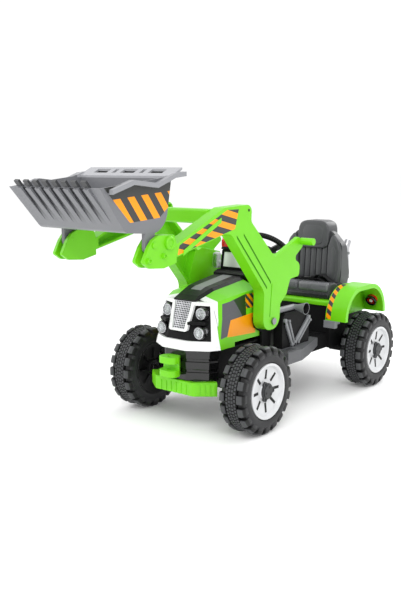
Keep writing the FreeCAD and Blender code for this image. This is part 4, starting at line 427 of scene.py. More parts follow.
@dataclass(frozen=True)
class ArmMoulding(Moulding):
    """Green arm moulding with warning bars along the outer face of its forward limb, painted shade in its
    sunk grooves and a painted shade line beside its raised bead.
    """

    face: float = 0.1715
    face_slack: float = 0.002
    film_depth: float = 0.004
    groove_half: float = 0.0046
    grooves: tuple[Line, ...] = (((-0.001, 0.5912), (0.143, 0.4321)), ((-0.035, 0.5871), (0.122, 0.4189)))
    line_lean: float = 0.092
    line_edges: Pair = (0.1070, 0.1092)
    line_span: Pair = (0.326, 0.429)
    film_top: Line = ((-0.268, 0.591), (-0.083, 0.666))
    film_foot: Line = ((-0.300, 0.556), (-0.068, 0.606))
    film_lean: float = 0.32
    film_ends: Pair = (-0.475, -0.240)
    film_ceiling: float = 0.667
    # darker greens painted as shade: in the grooves, and along the bead's forward side
    groove_painted_shade: str = "4A980E"
    line_painted_shade: str = "4A9A0C"
    bar_lean: float = 0.24
    bar_pitch: float = 0.036

    def layers(self, paint: Paint) -> Layers:
        """Paints shade into the sunk grooves and in a line beside the raised bead, and lays the bars over the
        forward limb and the knee.

        Args:
            paint: the material being mixed.

        Returns:
            Where each layer covers, and its colour.
        """
        x, along, z = paint.places()
        out, side = abs(x), Side(along, z)
        outer = out > self.face - self.face_slack
        shades = []
        # painted shade: a darker green band along each sunk groove
        for line in self.grooves:
            sunk = side.under(line, self.groove_half) * side.over(line, -self.groove_half)
            shades.append((sunk * along.between(line[0][0], line[1][0]) * outer, self.groove_painted_shade))
        # painted shade: a thin darker green line along the forward side of the raised bead
        post = (along - z * self.line_lean).between(*self.line_edges) * z.between(*self.line_span)
        inside = side.under(self.film_top) * side.over(self.film_foot) * (z < self.film_ceiling)
        inside = inside * (along - z * self.film_lean).between(*self.film_ends)
        inside = inside * out.between(self.face, self.face + self.film_depth)
        bars = Film.bars(paint, z, along, self.bar_lean, self.bar_pitch)
        return *shades, (post * outer, self.line_painted_shade), (inside, bars)


@dataclass(frozen=True)
class BonnetMoulding(Moulding):
    """Green bonnet moulding: a white front edge, and a charcoal window over an orange band on each side."""

    flank: float = 0.100
    rake: float = 0.226
    brow_edge: float = -0.1165
    window_top: Line = ((-0.048, 0.374), (0.067, 0.396))
    window_foot: Line = ((-0.042, 0.276), (0.150, 0.308))
    window_ends: Pair = (-0.102, 0.083)
    band_top: Line = ((-0.013, 0.327), (0.150, 0.340))
    band_foot: Line = ((-0.018, 0.279), (0.127, 0.272))
    band_rake: float = 0.369
    band_ends: Pair = (-0.1136, 0.1305)
    recess_ends: Pair = (0.086, 0.139)
    recess_span: Pair = (0.354, 0.398)
    bar_lean: float = 1.0
    bar_pitch: float = 0.028
    brow_colour: str = "EDEDEE"
    pane_colours: tuple[str, str] = ("55545A", "1D3310")
    pane_rake: float = 1.5
    pane_edge: float = 0.430

    def layers(self, paint: Paint) -> Layers:
        """Lays the white edge, the window, the band and the recess bars.

        Args:
            paint: the material being mixed.

        Returns:
            Where each layer covers, and its colour.
        """
        x, along, z = paint.places()
        side = Side(along, z)
        flank = abs(x) > self.flank
        window = side.under(self.window_top) * side.over(self.window_foot) * flank
        window = window * (along - z * self.rake > self.window_ends[0]) * (along < self.window_ends[1])
        band = side.under(self.band_top) * side.over(self.band_foot) * flank
        band = band * (along - z * self.band_rake > self.band_ends[0]) * (along < self.band_ends[1])
        recess = along.between(*self.recess_ends) * z.between(*self.recess_span) * flank
        rear = along * self.pane_rake + z > self.pane_edge
        pane = paint.blend(rear, *(tint(code) for code in self.pane_colours))
        return (
            (along - z * self.rake < self.brow_edge, self.brow_colour),
            (window, pane),
            (band, Film.ORANGE),
            (recess, Film.bars(paint, along, z, self.bar_lean, self.bar_pitch)),
        )


@dataclass(frozen=True)
class StripMoulding(Moulding):
    """Dark strip along the bonnet with a painted reflection: a paler band down the middle of its top."""

    reflection_half: float = 0.020
    reflection_start: float = -0.012
    painted_reflection_colour: str = "88878C"
    reflection_floor: float = 0.385

    def layers(self, paint: Paint) -> Layers:
        """Lays the painted reflection, a pale band, behind the strip's front end.

        Args:
            paint: the material being mixed.

        Returns:
            Where the painted reflection covers, and its colour.
        """
        x, along, z = paint.places()
        # painted reflection: a pale band on the strip's top, where the gloss strip would mirror the bright
        # surround
        band = (abs(x) < self.reflection_half) * (along > self.reflection_start) * (z > self.reflection_floor)
        return ((band, self.painted_reflection_colour),)


@dataclass(frozen=True)
class BucketMoulding(Moulding):
    """Grey bucket moulding with warning bars on its side walls, painted shade in the flutes of its front
    plate and behind its lip, and painted light on its back flange's top and its rim.
    """

    pitch: float = 0.036
    half_count: float = 3.5
    flute_half: float = 0.0088
    flute_fade: Pair = (0.640, 0.705)
    flute_top: float = 0.741
    flute_cover: float = 0.85
    front_plate: Line = ((-0.571, 0.7434), (-0.478, 0.6319))
    lip: Triple = (0.155, -0.548, 0.7390)
    flange: Pair = (-0.335, 0.7585)
    rim: Pair = (0.1765, 0.700)
    wall_foot: Pair = (0.159, 0.6115)
    wall_flare: float = 0.09
    film_edges: tuple[Line, ...] = (
        ((-0.529, 0.712), (-0.464, 0.652)),
        ((-0.464, 0.651), (-0.352, 0.659)),
        ((-0.362, 0.653), (-0.319, 0.689)),
    )
    film_top: float = 0.748
    bars_top: Line = ((-0.529, 0.710), (-0.319, 0.727))
    # painted shade in the flutes and behind the lip; painted light on the flange's top and on the rim
    flute_painted_shade: str = "2C2D2F"
    lip_painted_shade: str = "343537"
    flange_painted_light: str = "A2A3A7"
    rim_painted_light: str = "8B8C90"
    bar_lean: float = 0.85
    bar_pitch: float = 0.052

    def layers(self, paint: Paint) -> Layers:
        """Paints shade into the flutes and behind the lip, paints light on the back flange's top and on the
        rim, and lays the bars on the outer faces of the walls.

        Args:
            paint: the material being mixed.

        Returns:
            Where each layer covers, and its colour.
        """
        x, along, z = paint.places()
        out, side = abs(x), Side(along, z)
        half = self.pitch * self.half_count
        across = abs((x + half) % self.pitch - self.pitch / 2)
        # painted shade along the flutes, from nothing low down to full near the top of the front plate
        flute = (across < self.flute_half) * (out < half) * z.ease(*self.flute_fade) * (z < self.flute_top)
        wall = (z - self.wall_foot[1]) * self.wall_flare + self.wall_foot[0]
        field = (out > wall) * (out < self.rim[0]) * (z < self.film_top)
        for line in self.film_edges:
            field = field * side.over(line)
        bars = Film.bars(paint, along, z, self.bar_lean, self.bar_pitch)
        return (
            # painted shade in the flutes of the front plate
            (flute * side.under(self.front_plate) * self.flute_cover, self.flute_painted_shade),
            # painted shade behind the front lip
            ((out < self.lip[0]) * (along < self.lip[1]) * (z > self.lip[2]), self.lip_painted_shade),
            # painted light on the top of the back flange
            ((along > self.flange[0]) * (z > self.flange[1]), self.flange_painted_light),
            # painted light on the outer face of the rim
            ((out > self.rim[0]) * (z > self.rim[1]), self.rim_painted_light),
            (field, paint.blend(side.under(self.bars_top), Film.CHARCOAL, bars)),
        )


@dataclass(frozen=True)
class GuardMoulding(Moulding):
    """Green mudguard moulding with warning bars down its inboard edge."""

    arch: Pair = (0.622, 0.261)
    arch_square: float = 0.0117
    edge: Pair = (0.1575, 0.176)
    ends: Pair = (0.500, 0.628)
    foot: float = 0.262
    fall: float = 0.6
    bar_lean: float = 0.8
    bar_pitch: float = 0.036

    def layers(self, paint: Paint) -> Layers:
        """Lays the bars along the crown.

        Args:
            paint: the material being mixed.

        Returns:
            Where the film covers, and its colour.
        """
        x, along, z = paint.places()
        crown = Side(along, z).square(self.arch) > self.arch_square
        inside = abs(x).between(*self.edge) * along.between(*self.ends) * (z > self.foot) * crown
        return ((inside, Film.bars(paint, z + along * self.fall, abs(x), self.bar_lean, self.bar_pitch)),)


@dataclass(frozen=True)
class CushionMoulding(Moulding):
    """Seat front: rolls in a paler charcoal, painted light where the light falls on them, over a dark plinth.
    """

    plinth_colour: str = "2B2C2E"
    plinth_top: float = 0.3405

    def layers(self, paint: Paint) -> Layers:
        """Darkens the plinth."""
        return ((paint.axes()[2] < self.plinth_top, self.plinth_colour),)


@dataclass(frozen=True)
class TyreMoulding(Moulding):
    """Tyre plastic: painted shade in the grooves and at the bead, and painted light on the tops of the lugs.
    """

    half_base: float = 0.349
    hub_height: float = 0.134
    bead: float = 0.0884
    shoulder: float = 0.1180
    groove: float = 0.1268
    # painted shade at the bead, and the tread's painted shade and painted light
    bead_painted_shade: str = "070708"
    tread_shade_and_light: tuple[str, str] = ("0A0A0B", "414244")
    crown: float = 0.1298

    def layers(self, paint: Paint) -> Layers:
        """Paints shade and light on the tyre by the distance from its own axle.

        Args:
            paint: the material being mixed.

        Returns:
            Where each layer covers, and its colour.
        """
        _, along, z = paint.places()
        square = Side(abs(along - self.half_base), z).square((self.half_base, self.hub_height))
        # painted shade down in the grooves, painted light towards the lug tops
        lit_share = square.ease(self.groove**2, self.crown**2)
        tread = paint.blend(lit_share, *(tint(code) for code in self.tread_shade_and_light))
        # the last layer is painted shade at the bead, where the tyre meets the rim
        return (square > self.shoulder**2, tread), (square < self.bead**2, self.bead_painted_shade)


@dataclass(frozen=True)
class Metal(Surface):
    """Plated or painted metal with fine drawn lines."""

    roughness: float = 0.25
    metallic: float = 1.0
    lines: Triple = (1.0, 1.0, 12.0)
    line_scale: float = 240.0
    line_depth: float = 0.00008
    line_shown: float = 0.25
    line_gloss: float = 0.16
    patch_scale: float = 30.0
    patch_fade: Pair = (0.3, 0.75)
    dull_share: float = 0.72

    def cover(self, paint: Paint) -> None:
        """Mixes the patchy colour, the sheen and the drawn lines.

        Args:
            paint: the empty material.
        """
        drawn = paint.noise(self.line_scale, 3.0, self.lines)
        bright = paint.noise(self.patch_scale, 3.0).ease(*self.patch_fade)
        paint.feed(
            paint.shader,
            {
                "Base Color": paint.blend(bright, self.shade(self.dull_share), self.shade(1.0)),
                "Roughness": self.roughness + drawn * self.line_gloss,
                "Metallic": self.metallic,
            },
        )
        paint.relief(drawn, self.line_depth, self.line_shown)


@dataclass(frozen=True)
class LampPlastic(Surface):
    """Tinted see-through plastic with fine moulded ribs, painted darker in the rib hollows as shade."""

    see_through: float
    rib: float = 0.004
    roughness: float = 0.12
    rib_depth: float = 0.0003
    rib_shown: float = 0.3
    hollow_shade_share: float = 0.6
    patch_scale: float = 40.0
    patch_depth: float = 0.1
    haze_scale: float = 25.0
    haze_share: float = 0.2
    coat: float = 0.5
    coat_roughness: float = 0.05

    def cover(self, paint: Paint) -> None:
        """Mixes the ribbed tint, darker in the rib hollows as painted shade, the gloss and the clearness.

        Args:
            paint: the empty material.
        """
        x, y, _ = paint.axes()
        ribs = ((x + y) * (math.tau / self.rib)).sine() * 0.5 + 0.5
        clear = (1 - self.haze_share) + paint.noise(self.haze_scale) * self.haze_share
        paint.feed(
            paint.shader,
            {
                # painted shade: darker where the ribs are low
                "Base Color": paint.blend(ribs, self.shade(self.hollow_shade_share), self.shade(1.0)),
                "Roughness": self.roughness + paint.noise(self.patch_scale, 3.0) * self.patch_depth,
                "Alpha": 1.0 - self.see_through * clear,
                "Coat Weight": self.coat,
                "Coat Roughness": self.coat_roughness,
            },
        )
        paint.relief(ribs, self.rib_depth, self.rib_shown)


@dataclass(frozen=True)
class Webbing(Surface):
    """Woven strap with twill ribs, painted darker in the hollows of its weave as shade."""

    rib: float = 0.0022
    rib_depth: float = 0.0005
    rib_shown: float = 0.6
    hollow_shade_share: float = 0.45
    roughness: float = 0.78
    fuzz_scale: float = 300.0
    fuzz_depth: float = 0.15

    def cover(self, paint: Paint) -> None:
        """Mixes the weave's colour, darker in its hollows as painted shade, its roughness and its relief.

        Args:
            paint: the empty material.
        """
        x, y, z = paint.axes()
        rise = (y + z) * 0.5
        turns = math.tau / self.rib
        weave = ((x + rise) * turns).sine() * ((x - rise) * turns).sine() * 0.5 + 0.5
        paint.feed(
            paint.shader,
            {
                # painted shade: darker where the weave is low
                "Base Color": paint.blend(weave, self.shade(self.hollow_shade_share), self.shade(1.0)),
                "Roughness": self.roughness + paint.noise(self.fuzz_scale) * self.fuzz_depth,
            },
        )
        paint.relief(weave, self.rib_depth, self.rib_shown)


LIME_LOOK = ("lime_green", "6EC910", 0.34, 1500.0, 0.00008, 0.06, 0.1)


class Finish(Enum):
    """The finishes: a material's name, its slot in the record, its colour, and its own values."""

    TYRE = TyreMoulding("tyre_black", "tyre_black", "232325", 0.5, 700.0, 0.0002, 0.16, 0.1)
    RIM = Moulding("rim_white", "rim_white", "CDCED0", 0.32, 1500.0, 0.00008, 0.03, 0.08)
    CAP = Moulding("cap_grey", "cap_grey", "2E2F31", 0.42)
    LIME = Moulding("lime_green", *LIME_LOOK)
    ARM = ArmMoulding("lime_green_arm", *LIME_LOOK)
    BONNET = BonnetMoulding("lime_green_bonnet", *LIME_LOOK)
    GUARD = GuardMoulding("lime_green_guard", *LIME_LOOK)
    GLOSS = Moulding("black_gloss", "black_gloss", "060607", 0.16, 900.0, 0.00004, 0.1, 0.06, 0.5)
    STRIP = StripMoulding(
        "black_gloss_strip", "black_gloss", "1A1A1C", 0.4, 900.0, 0.00004, 0.1, 0.06, 0.0, 0.22
    )
    MATTE = Moulding("black_matte", "black_matte", "0E0E0F", 0.55, 1200.0, 0.0002, 0.12, 0.1, 0.0, 0.12)
    CHARCOAL = Moulding("charcoal", "charcoal", "454648", 0.33, 1100.0, 0.0002, 0.08, 0.1)
    # a paler copy of the seat's charcoal, painted light on the front rolls
    CUSHION_LIT = CushionMoulding(
        "charcoal_cushion_lit", "charcoal", "626366", 0.27, 1100.0, 0.00015, 0.1, 0.06, 0.25
    )
    FOOT = Moulding("charcoal_rest", "charcoal", "535457", 0.42, 1100.0, 0.0002, 0.1, 0.16)
    ALLOY = Moulding("pale_grey_alloy", "pale_grey", "7A7C7F", 0.3, 1300.0, 0.0001, 0.1, 0.1)
    BUCKET = BucketMoulding("bucket_grey", "bucket_grey", "717276", 0.36, 1200.0, 0.0001, 0.06, 0.12)
    PALE = Moulding("pale_grey", "pale_grey", "BFC0C3", 0.36, 1300.0, 0.0001, 0.05, 0.1)
    WHITE = Moulding("fascia_white", "fascia_white", "EDEDEE", 0.25, 1500.0, 0.00005, 0.03, 0.06)
    SILVER = Metal("silver", "silver", "D4D5D8", 0.2)
    STEEL = Metal("steel", "steel", "A9ABAE", 0.32)
    BLACK_STEEL = Metal("black_steel", "black_steel", "1C1C1D", 0.4, 0.4)
    RED = LampPlastic("lamp_red", "lamp_red", "E01A10", 0.12)
    CLEAR = LampPlastic("clear", "clear", "E9EEF0", 0.78, 0.03)
    PANE = LampPlastic("clear_pane", "clear", "FAFAFA", 0.12, 0.09, 0.05)
    WEBBING = Webbing("webbing", "webbing", "17171A")


class Form:
    """A mesh shaped with bmesh operators, which becomes one piece."""

    BEND: float = 0.2
    WELD_REACH: float = 0.000002

    def __init__(self) -> None:
        """Starts an empty mesh."""
        self.mesh = bmesh.new()

    @staticmethod
    def parts(verts: Iterable[bmesh.types.BMVert]) -> list:
        """Vertices with all the edges and faces between them, as operators want them.

        Args:
            verts: the vertices of whole islands.

        Returns:
            Vertices, edges and faces in one list.
        """
        verts = list(verts)
        edges = {edge for vert in verts for edge in vert.link_edges}
        faces = {face for vert in verts for face in vert.link_faces}
        return verts + list(edges) + list(faces)

    @property
    def held(self) -> int:
        """How many vertices the mesh holds."""
        return len(self.mesh.verts)

    def made_since(self, count: int) -> list[bmesh.types.BMVert]:
        """The vertices that were added after the mesh held that many."""
        self.mesh.verts.ensure_lookup_table()
        return list(self.mesh.verts)[count:]

    def soften(self, verts: Iterable[bmesh.types.BMVert], edge: float, steps: int = 3) -> None:
        """Rounds every edge of an island.

        Args:
            verts: its vertices.
            edge: the radius.
            steps: segments of the round.
        """
        near = {edge for vert in verts for edge in vert.link_edges}
        edges = [item for item in near if item.calc_face_angle(0.0) > self.BEND]
        bmesh.ops.bevel(
            self.mesh,
            geom=edges,
            offset=edge,
            offset_type="OFFSET",
            segments=steps,
            profile=0.5,
            affect="EDGES",
            clamp_overlap=True,
            material=-1,
        )

    def box(self, low: Vector, high: Vector, edge: float = 0.0, steps: int = 3) -> None:
        """Adds a box with rounded edges.

        Args:
            low: its lowest corner.
            high: its highest corner.
            edge: the radius of its edges.
            steps: segments of the round.
        """
        verts = bmesh.ops.create_cube(self.mesh, size=1.0)["verts"]
        bmesh.ops.scale(self.mesh, vec=high - low, verts=verts)
        bmesh.ops.translate(self.mesh, vec=(low + high) / 2, verts=verts)
        if edge:
            self.soften(verts, edge, steps)

    def block(self, middle: Vector, half: Triple, edge: float, steps: int) -> None:
        """Adds a box with rounded edges, given its middle and half its size."""
        self.box(middle - Vector(half), middle + Vector(half), edge, steps)

    def prism(
        self,
        corners: Sequence[Vector],
        depth: Vector,
        edge: float = 0.0,
        steps: int = 3,
        crown: float = 1.0,
    ) -> None:
        """Adds a prism over a flat outline.

        Args:
            corners: the outline.
            depth: from the outline to the far end.
            edge: the radius of its edges.
            steps: segments of the round.
            crown: the far end's size as a share of the outline.
        """
        near = [self.mesh.verts.new(corner) for corner in corners]
        face = self.mesh.faces.new(near)
        made = bmesh.ops.extrude_face_region(self.mesh, geom=[face])["geom"]
        far = [item for item in made if isinstance(item, bmesh.types.BMVert)]
        bmesh.ops.translate(self.mesh, vec=depth, verts=far)
        if crown != 1.0:
            middle = sum((vert.co for vert in far), Vector()) / len(far)
            bmesh.ops.scale(self.mesh, vec=(crown,) * 3, space=Matrix.Translation(-middle), verts=far)
        bmesh.ops.recalc_face_normals(self.mesh, faces=self.mesh.faces[:])
        if edge:
            self.soften(near + far, edge, steps)

    def turned(
        self,
        profile: Sequence[tuple[float, float]],
        centre: Vector,
        axis: Vector,
        steps: int = 40,
        closed: bool = False,
    ) -> None:
        """Adds a turned shape.

        Args:
            profile: places along the axis, each with its radius.
            centre: the point that places are measured from.
            axis: the axis.
            steps: sides of the turn.
            closed: whether the profile's ends are joined.
        """
        axis = axis.normalized()
        side = axis.orthogonal().normalized()
        verts = [self.mesh.verts.new(centre + axis * along + side * radius) for along, radius in profile]
        edges = [self.mesh.edges.new(pair) for pair in zip(verts, verts[1:])]
        if closed:
            edges.append(self.mesh.edges.new((verts[-1], verts[0])))
        bmesh.ops.spin(
            self.mesh,
            geom=verts + edges,
            cent=centre,
            axis=axis,
            dvec=(0.0, 0.0, 0.0),
            angle=math.tau,
            steps=steps,
            use_merge=True,
        )

    def repeat(self, start: int, centre: Vector, axis: Vector, count: int) -> None:
        """Repeats the newest islands evenly round an axis.

        Args:
            start: how many vertices the mesh held before them.
            centre: a point of the axis.
            axis: the axis.
            count: how many there are in the end.
        """
        bmesh.ops.spin(
            self.mesh,
            geom=self.parts(self.made_since(start)),
            cent=centre,
            axis=axis,
            dvec=(0.0, 0.0, 0.0),
            angle=math.tau * (count - 1) / count,
            steps=count - 1,
            use_duplicate=True,
        )

    def mirror(self) -> None:
        """Adds the mirror image across the toy's middle."""
        bmesh.ops.mirror(
            self.mesh, geom=self.parts(self.mesh.verts), matrix=Matrix.Identity(4), merge_dist=0.0, axis="X"
        )

    def piece(
        self,
        studio: "Studio",
        name: str,
        body: str,
        finish: Finish,
        sharp: float = 38.0,
        stands_for: Sequence[str] = (),
    ) -> bpy.types.Object:
        """Turns the mesh into a piece that moves with a body.

        Args:
            studio: mixes the finish.
            name: the piece's name.
            body: the body that it rides on.
            finish: its finish.
            sharp: edges that bend more than this, in degrees, stay crisp.
            stands_for: the CAD nodes that it replaces.

        Returns:
            The piece.
        """
        bmesh.ops.remove_doubles(self.mesh, verts=self.mesh.verts[:], dist=self.WELD_REACH)
        bmesh.ops.recalc_face_normals(self.mesh, faces=self.mesh.faces[:])
        for face in self.mesh.faces:
            face.smooth = True
        for edge in self.mesh.edges:
            edge.smooth = edge.calc_face_angle(0.0) < math.radians(sharp)
        mesh = bpy.data.meshes.new(name)
        self.mesh.to_mesh(mesh)
        self.mesh.free()
        thing = bpy.data.objects.new(name, mesh)
        bpy.context.collection.objects.link(thing)
        mesh.materials.append(studio.finish(finish))
        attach(thing, body)
        if stands_for:
            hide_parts(*stands_for)
        LOG.info("built %s", name)
        return thing


class Studio:
    """Mixes each finish once and dresses CAD nodes."""

    WELD_REACH: float = 0.00001
    FLAT_BEND: float = math.radians(0.6)
    EDGE_BEND: float = math.radians(32)
    EDGE_STEPS: int = 2

    def __init__(self, nodes: dict[str, bpy.types.Object]) -> None:
        """Keeps the CAD nodes by name."""
        self.nodes = nodes
        self.mixed: dict[Finish, bpy.types.Material] = {}

    def finish(self, finish: Finish) -> bpy.types.Material:
        """Mixes a finish at its first use.

        Args:
            finish: the finish.

        Returns:
            Its material.
        """
        if finish not in self.mixed:
            self.mixed[finish] = finish.value.mix()
        return self.mixed[finish]

    def dress(self, finish: Finish, *names: str, edge: float = 0.0008) -> None:
        """Gives CAD nodes a finish and softly rounded edges.

        Args:
            finish: the finish.
            names: the nodes.
            edge: the radius of a moulded edge; none where it is zero.
        """
        for name in names:
            thing = self.nodes[name]
            thing.data.materials.clear()
            thing.data.materials.append(self.finish(finish))
            if edge:
                weld = thing.modifiers.new("weld", "WELD")
                weld.merge_threshold = self.WELD_REACH
                flat = thing.modifiers.new("flat", "DECIMATE")
                flat.decimate_type = "DISSOLVE"
                flat.angle_limit = self.FLAT_BEND
                soft = thing.modifiers.new("edge", "BEVEL")
                soft.width = edge
                soft.segments = self.EDGE_STEPS
                soft.limit_method = "ANGLE"
                soft.angle_limit = self.EDGE_BEND
                soft.use_clamp_overlap = True
                even = thing.modifiers.new("even", "WEIGHTED_NORMAL")
                even.keep_sharp = True
            LOG.info("dressed %s", name)


@dataclass
class Stage:
    """The pale floor, the soft lights and the camera."""

    azimuth: float = math.radians(39.35)
    elevation: float = math.radians(9.69)
    lens: float = 47.58
    sensor: float = 36.0
    stand: Triple = (1.549, -2.002, 0.793)
    aim: Triple = (0.0, 0.0, 0.35)
    lights: tuple[tuple[str, Triple, float, float], ...] = (
        ("key", (2.2, -2.6, 3.4), 2.4, 84.0),
        ("fill", (-3.0, -1.6, 2.2), 3.0, 40.0),
        ("back", (0.5, 3.2, 2.6), 2.6, 60.0),
    )
    surround: float = 1.04
    floor_half: float = 80.0
    floor_glow: float = 0.05

    def build(self) -> None:
        """Lays the floor and sets the lights and the camera."""
        self.floor()
        for light in self.lights:
            self.light(*light)
        self.sky()
        self.camera()

    def floor(self) -> None:
        """A wide pale floor."""
        shell = bmesh.new()
        bmesh.ops.create_grid(shell, x_segments=1, y_segments=1, size=self.floor_half)
        mesh = bpy.data.meshes.new("floor")
        shell.to_mesh(mesh)
        shell.free()
        floor = bpy.data.objects.new("floor", mesh)
        bpy.context.collection.objects.link(floor)
        paint = Paint("floor_paper")
        paint.feed(
            paint.shader,
            {
                "Base Color": paint.blend(paint.noise(0.6), tint("F4F4F4"), tint("FAFAFA")),
                "Roughness": 0.9,
                "Emission Color": tint("FFFFFF"),
                "Emission Strength": self.floor_glow,
            },
        )
        mesh.materials.append(paint.material)

    def light(self, name: str, place: Triple, size: float, power: float) -> None:
        """A square soft light aimed at the middle of the toy.

        Args:
            name: the light's name.
            place: where it stands.
            size: its side.
            power: in watts.
        """
        lamp = bpy.data.lights.new(name, "AREA")
        lamp.size = size
        lamp.energy = power
        holder = bpy.data.objects.new(name, lamp)
        bpy.context.collection.objects.link(holder)
        holder.location = place
        aim = Vector(self.aim) - Vector(place)
        holder.rotation_euler = aim.to_track_quat("-Z", "Y").to_euler()

    def sky(self) -> None:
        """An even pale surround."""
        world = bpy.data.worlds.new("surround")
        world.use_nodes = True
        ground = world.node_tree.nodes["Background"]
        ground.inputs["Color"].default_value = (1.0, 1.0, 1.0, 1.0)
        ground.inputs["Strength"].default_value = self.surround
        scene = bpy.context.scene
        scene.world = world
        scene.view_settings.view_transform = "Standard"

    def camera(self) -> None:
        """The camera, at the viewing angle of the picture."""
        eye = bpy.data.cameras.new("camera")
        eye.lens = self.lens
        eye.sensor_width = self.sensor
        holder = bpy.data.objects.new("camera", eye)
        bpy.context.collection.objects.link(holder)
        level = math.cos(self.elevation)
        across, ahead = math.sin(self.azimuth) * level, math.cos(self.azimuth) * level
        back = Vector((across, -ahead, math.sin(self.elevation)))
        holder.location = self.stand
        holder.rotation_euler = (-back).to_track_quat("-Z", "Y").to_euler()
        bpy.context.scene.camera = holder


@dataclass(frozen=True)
class Spoke:
    """A bar on a wheel: root and tip (place across and radius), half its width, its depth and its edges."""

    root: Pair
    tip: Pair
    half: float
    depth: float
    edge: float
    steps: int


@dataclass
class Wheels:
    """Four alike wheels: lugged tyres, slotted rims, three-lobed caps and a dark liner behind each rim."""

    studio: Studio
    corners: tuple[str, ...] = ("front_left", "front_right", "rear_left", "rear_right")
    carcass: Profile = (
        (0.0360, 0.0845), (0.0420, 0.0850), (0.0450, 0.0900), (0.0455, 0.0985), (0.0445, 0.1075),
        (0.0410, 0.1160), (0.0360, 0.1200), (0.0225, 0.1215), (0.0215, 0.1195), (0.0200, 0.1195),
        (0.0190, 0.1262), (0.0080, 0.1270),
    )
    carcass_sides: int = 96
    lug: Profile = (
        (0.0222, 0.1180), (0.0222, 0.1305), (0.0245, 0.1334), (0.0345, 0.1330), (0.0405, 0.1284),
        (0.0448, 0.1190), (0.0447, 0.1060), (0.0400, 0.1110),
    )
    lug_count: int = 20
    lug_half: float = 0.0125
    lug_edge: float = 0.0034
    knurl: Triple = (0.0037, 0.0040, 0.0019)
    knurl_radius: float = 0.1274
    knurl_edge: float = 0.0008
    knurl_rows: Profile = ((0.0046, 0.0), (0.0140, 0.5))
    knurl_count: int = 72
    dish: Profile = (
        (0.0396, 0.0105), (0.0400, 0.0110), (0.0400, 0.0246), (0.0392, 0.0252), (0.0330, 0.0258),
        (0.0310, 0.0300), (0.0330, 0.0640), (0.0415, 0.0780), (0.0438, 0.0845), (0.0428, 0.0850),
        (0.0400, 0.0785), (0.0315, 0.0645), (0.0295, 0.0290), (0.0320, 0.0250), (0.0396, 0.0244),
    )
    dish_sides: int = 64
    rib: Spoke = Spoke((0.0310, 0.0300), (0.0350, 0.0655), 0.0022, 0.004, 0.001, 2)
    # dark plates set in the rim's slots as painted shade
    slot_shade: Spoke = Spoke((-0.0335, 0.0366), (-0.0363, 0.0656), 0.0044, 0.0024, 0.0003, 1)
    spoke_count: int = 8
    cap_ring: Profile = (
        (0.0335, 0.0204), (0.0335, 0.0250), (0.0412, 0.0250), (0.0432, 0.0236), (0.0432, 0.0204),
    )
    cap_sides: int = 48
    cap_screw: Profile = (
        (0.0450, 0.0), (0.0450, 0.0043), (0.0457, 0.0043), (0.0459, 0.0037), (0.0456, 0.0030), (0.0456, 0.0),
    )
    cap_screw_offset: Triple = (0.0, 0.0040, 0.0129)
    cap_screw_sides: int = 16
    cap_screw_count: int = 3

    def build(self) -> None:
        """Builds the tyres, liners and cap rings and dresses the rims and caps."""
        for corner in self.corners:
            low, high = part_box(corner + "_tyre")
            centre = (low + high) / 2
            self.tyre(corner, centre)
            self.liner(corner, centre)
            self.cap(corner, centre)
            self.studio.dress(Finish.RIM, corner + "_rim", edge=0.0012)
            self.studio.dress(Finish.CAP, corner + "_hub_cap", edge=0.0015)

    def tyre(self, corner: str, centre: Vector) -> None:
        """Builds one tyre: a turned carcass, rounded shoulder lugs and a knurled middle band.

        Args:
            corner: the wheel's corner of the toy.
            centre: the wheel's centre.
        """
        form = Form()
        section = [*self.carcass, *flipped(self.carcass)]
        form.turned(section, centre, LEFT, self.carcass_sides, closed=True)
        for side in (1, -1):
            start = form.held
            near = centre - BACK * self.lug_half
            corners = [near + Vector((across * side, 0.0, -radius)) for across, radius in self.lug]
            form.prism(corners, BACK * (self.lug_half * 2), self.lug_edge, 2)
            form.repeat(start, centre, LEFT, self.lug_count)
            for across, lag in self.knurl_rows:
                start = form.held
                middle = centre + Vector((across * side, 0.0, -self.knurl_radius))
                form.block(middle, self.knurl, self.knurl_edge, 1)
                turn = Matrix.Rotation(math.tau * lag / self.knurl_count, 3, "X")
                bmesh.ops.rotate(form.mesh, cent=centre, matrix=turn, verts=form.made_since(start))
                form.repeat(start, centre, LEFT, self.knurl_count)
        replaced = [corner + "_tyre"]
        form.piece(self.studio, corner + "_tread", corner + "_wheel", Finish.TYRE, stands_for=replaced)

    def liner(self, corner: str, centre: Vector) -> None:
        """Builds the ribbed dark dish on a wheel's inner side, and dark plugs in the rim's slots as painted
        shade.

        Args:
            corner: the wheel's corner of the toy.
            centre: the wheel's centre.
        """
        inward = LEFT * -math.copysign(1.0, centre.x)
        form = Form()
        form.turned(self.dish, centre, inward, self.dish_sides, closed=True)
        for bar in (self.rib, self.slot_shade):
            start = form.held
            root, tip = (centre + inward * across + UP * radius for across, radius in (bar.root, bar.tip))
            wide = BACK * bar.half
            corners = [root - wide, root + wide, tip + wide, tip - wide]
            form.prism(corners, inward * bar.depth, bar.edge, bar.steps)
            form.repeat(start, centre, inward, self.spoke_count)
        form.piece(self.studio, corner + "_liner", corner + "_wheel", Finish.TYRE)

    def cap(self, corner: str, centre: Vector) -> None:
        """Builds the stepped ring round a hub cap, and the three sunk screws on its face.

        Args:
            corner: the wheel's corner of the toy.
            centre: the wheel's centre.
        """
        outward = LEFT * math.copysign(1.0, centre.x)
        ring = Form()
        ring.turned(self.cap_ring, centre, outward, self.cap_sides, closed=True)
        ring.piece(self.studio, corner + "_cap_ring", corner + "_wheel", Finish.CAP)
        heads = Form()
        heads.turned(self.cap_screw, centre + Vector(self.cap_screw_offset), outward, self.cap_screw_sides)
        heads.repeat(0, centre, outward, self.cap_screw_count)
        heads.piece(self.studio, corner + "_cap_screws", corner + "_wheel", Finish.BLACK_STEEL)


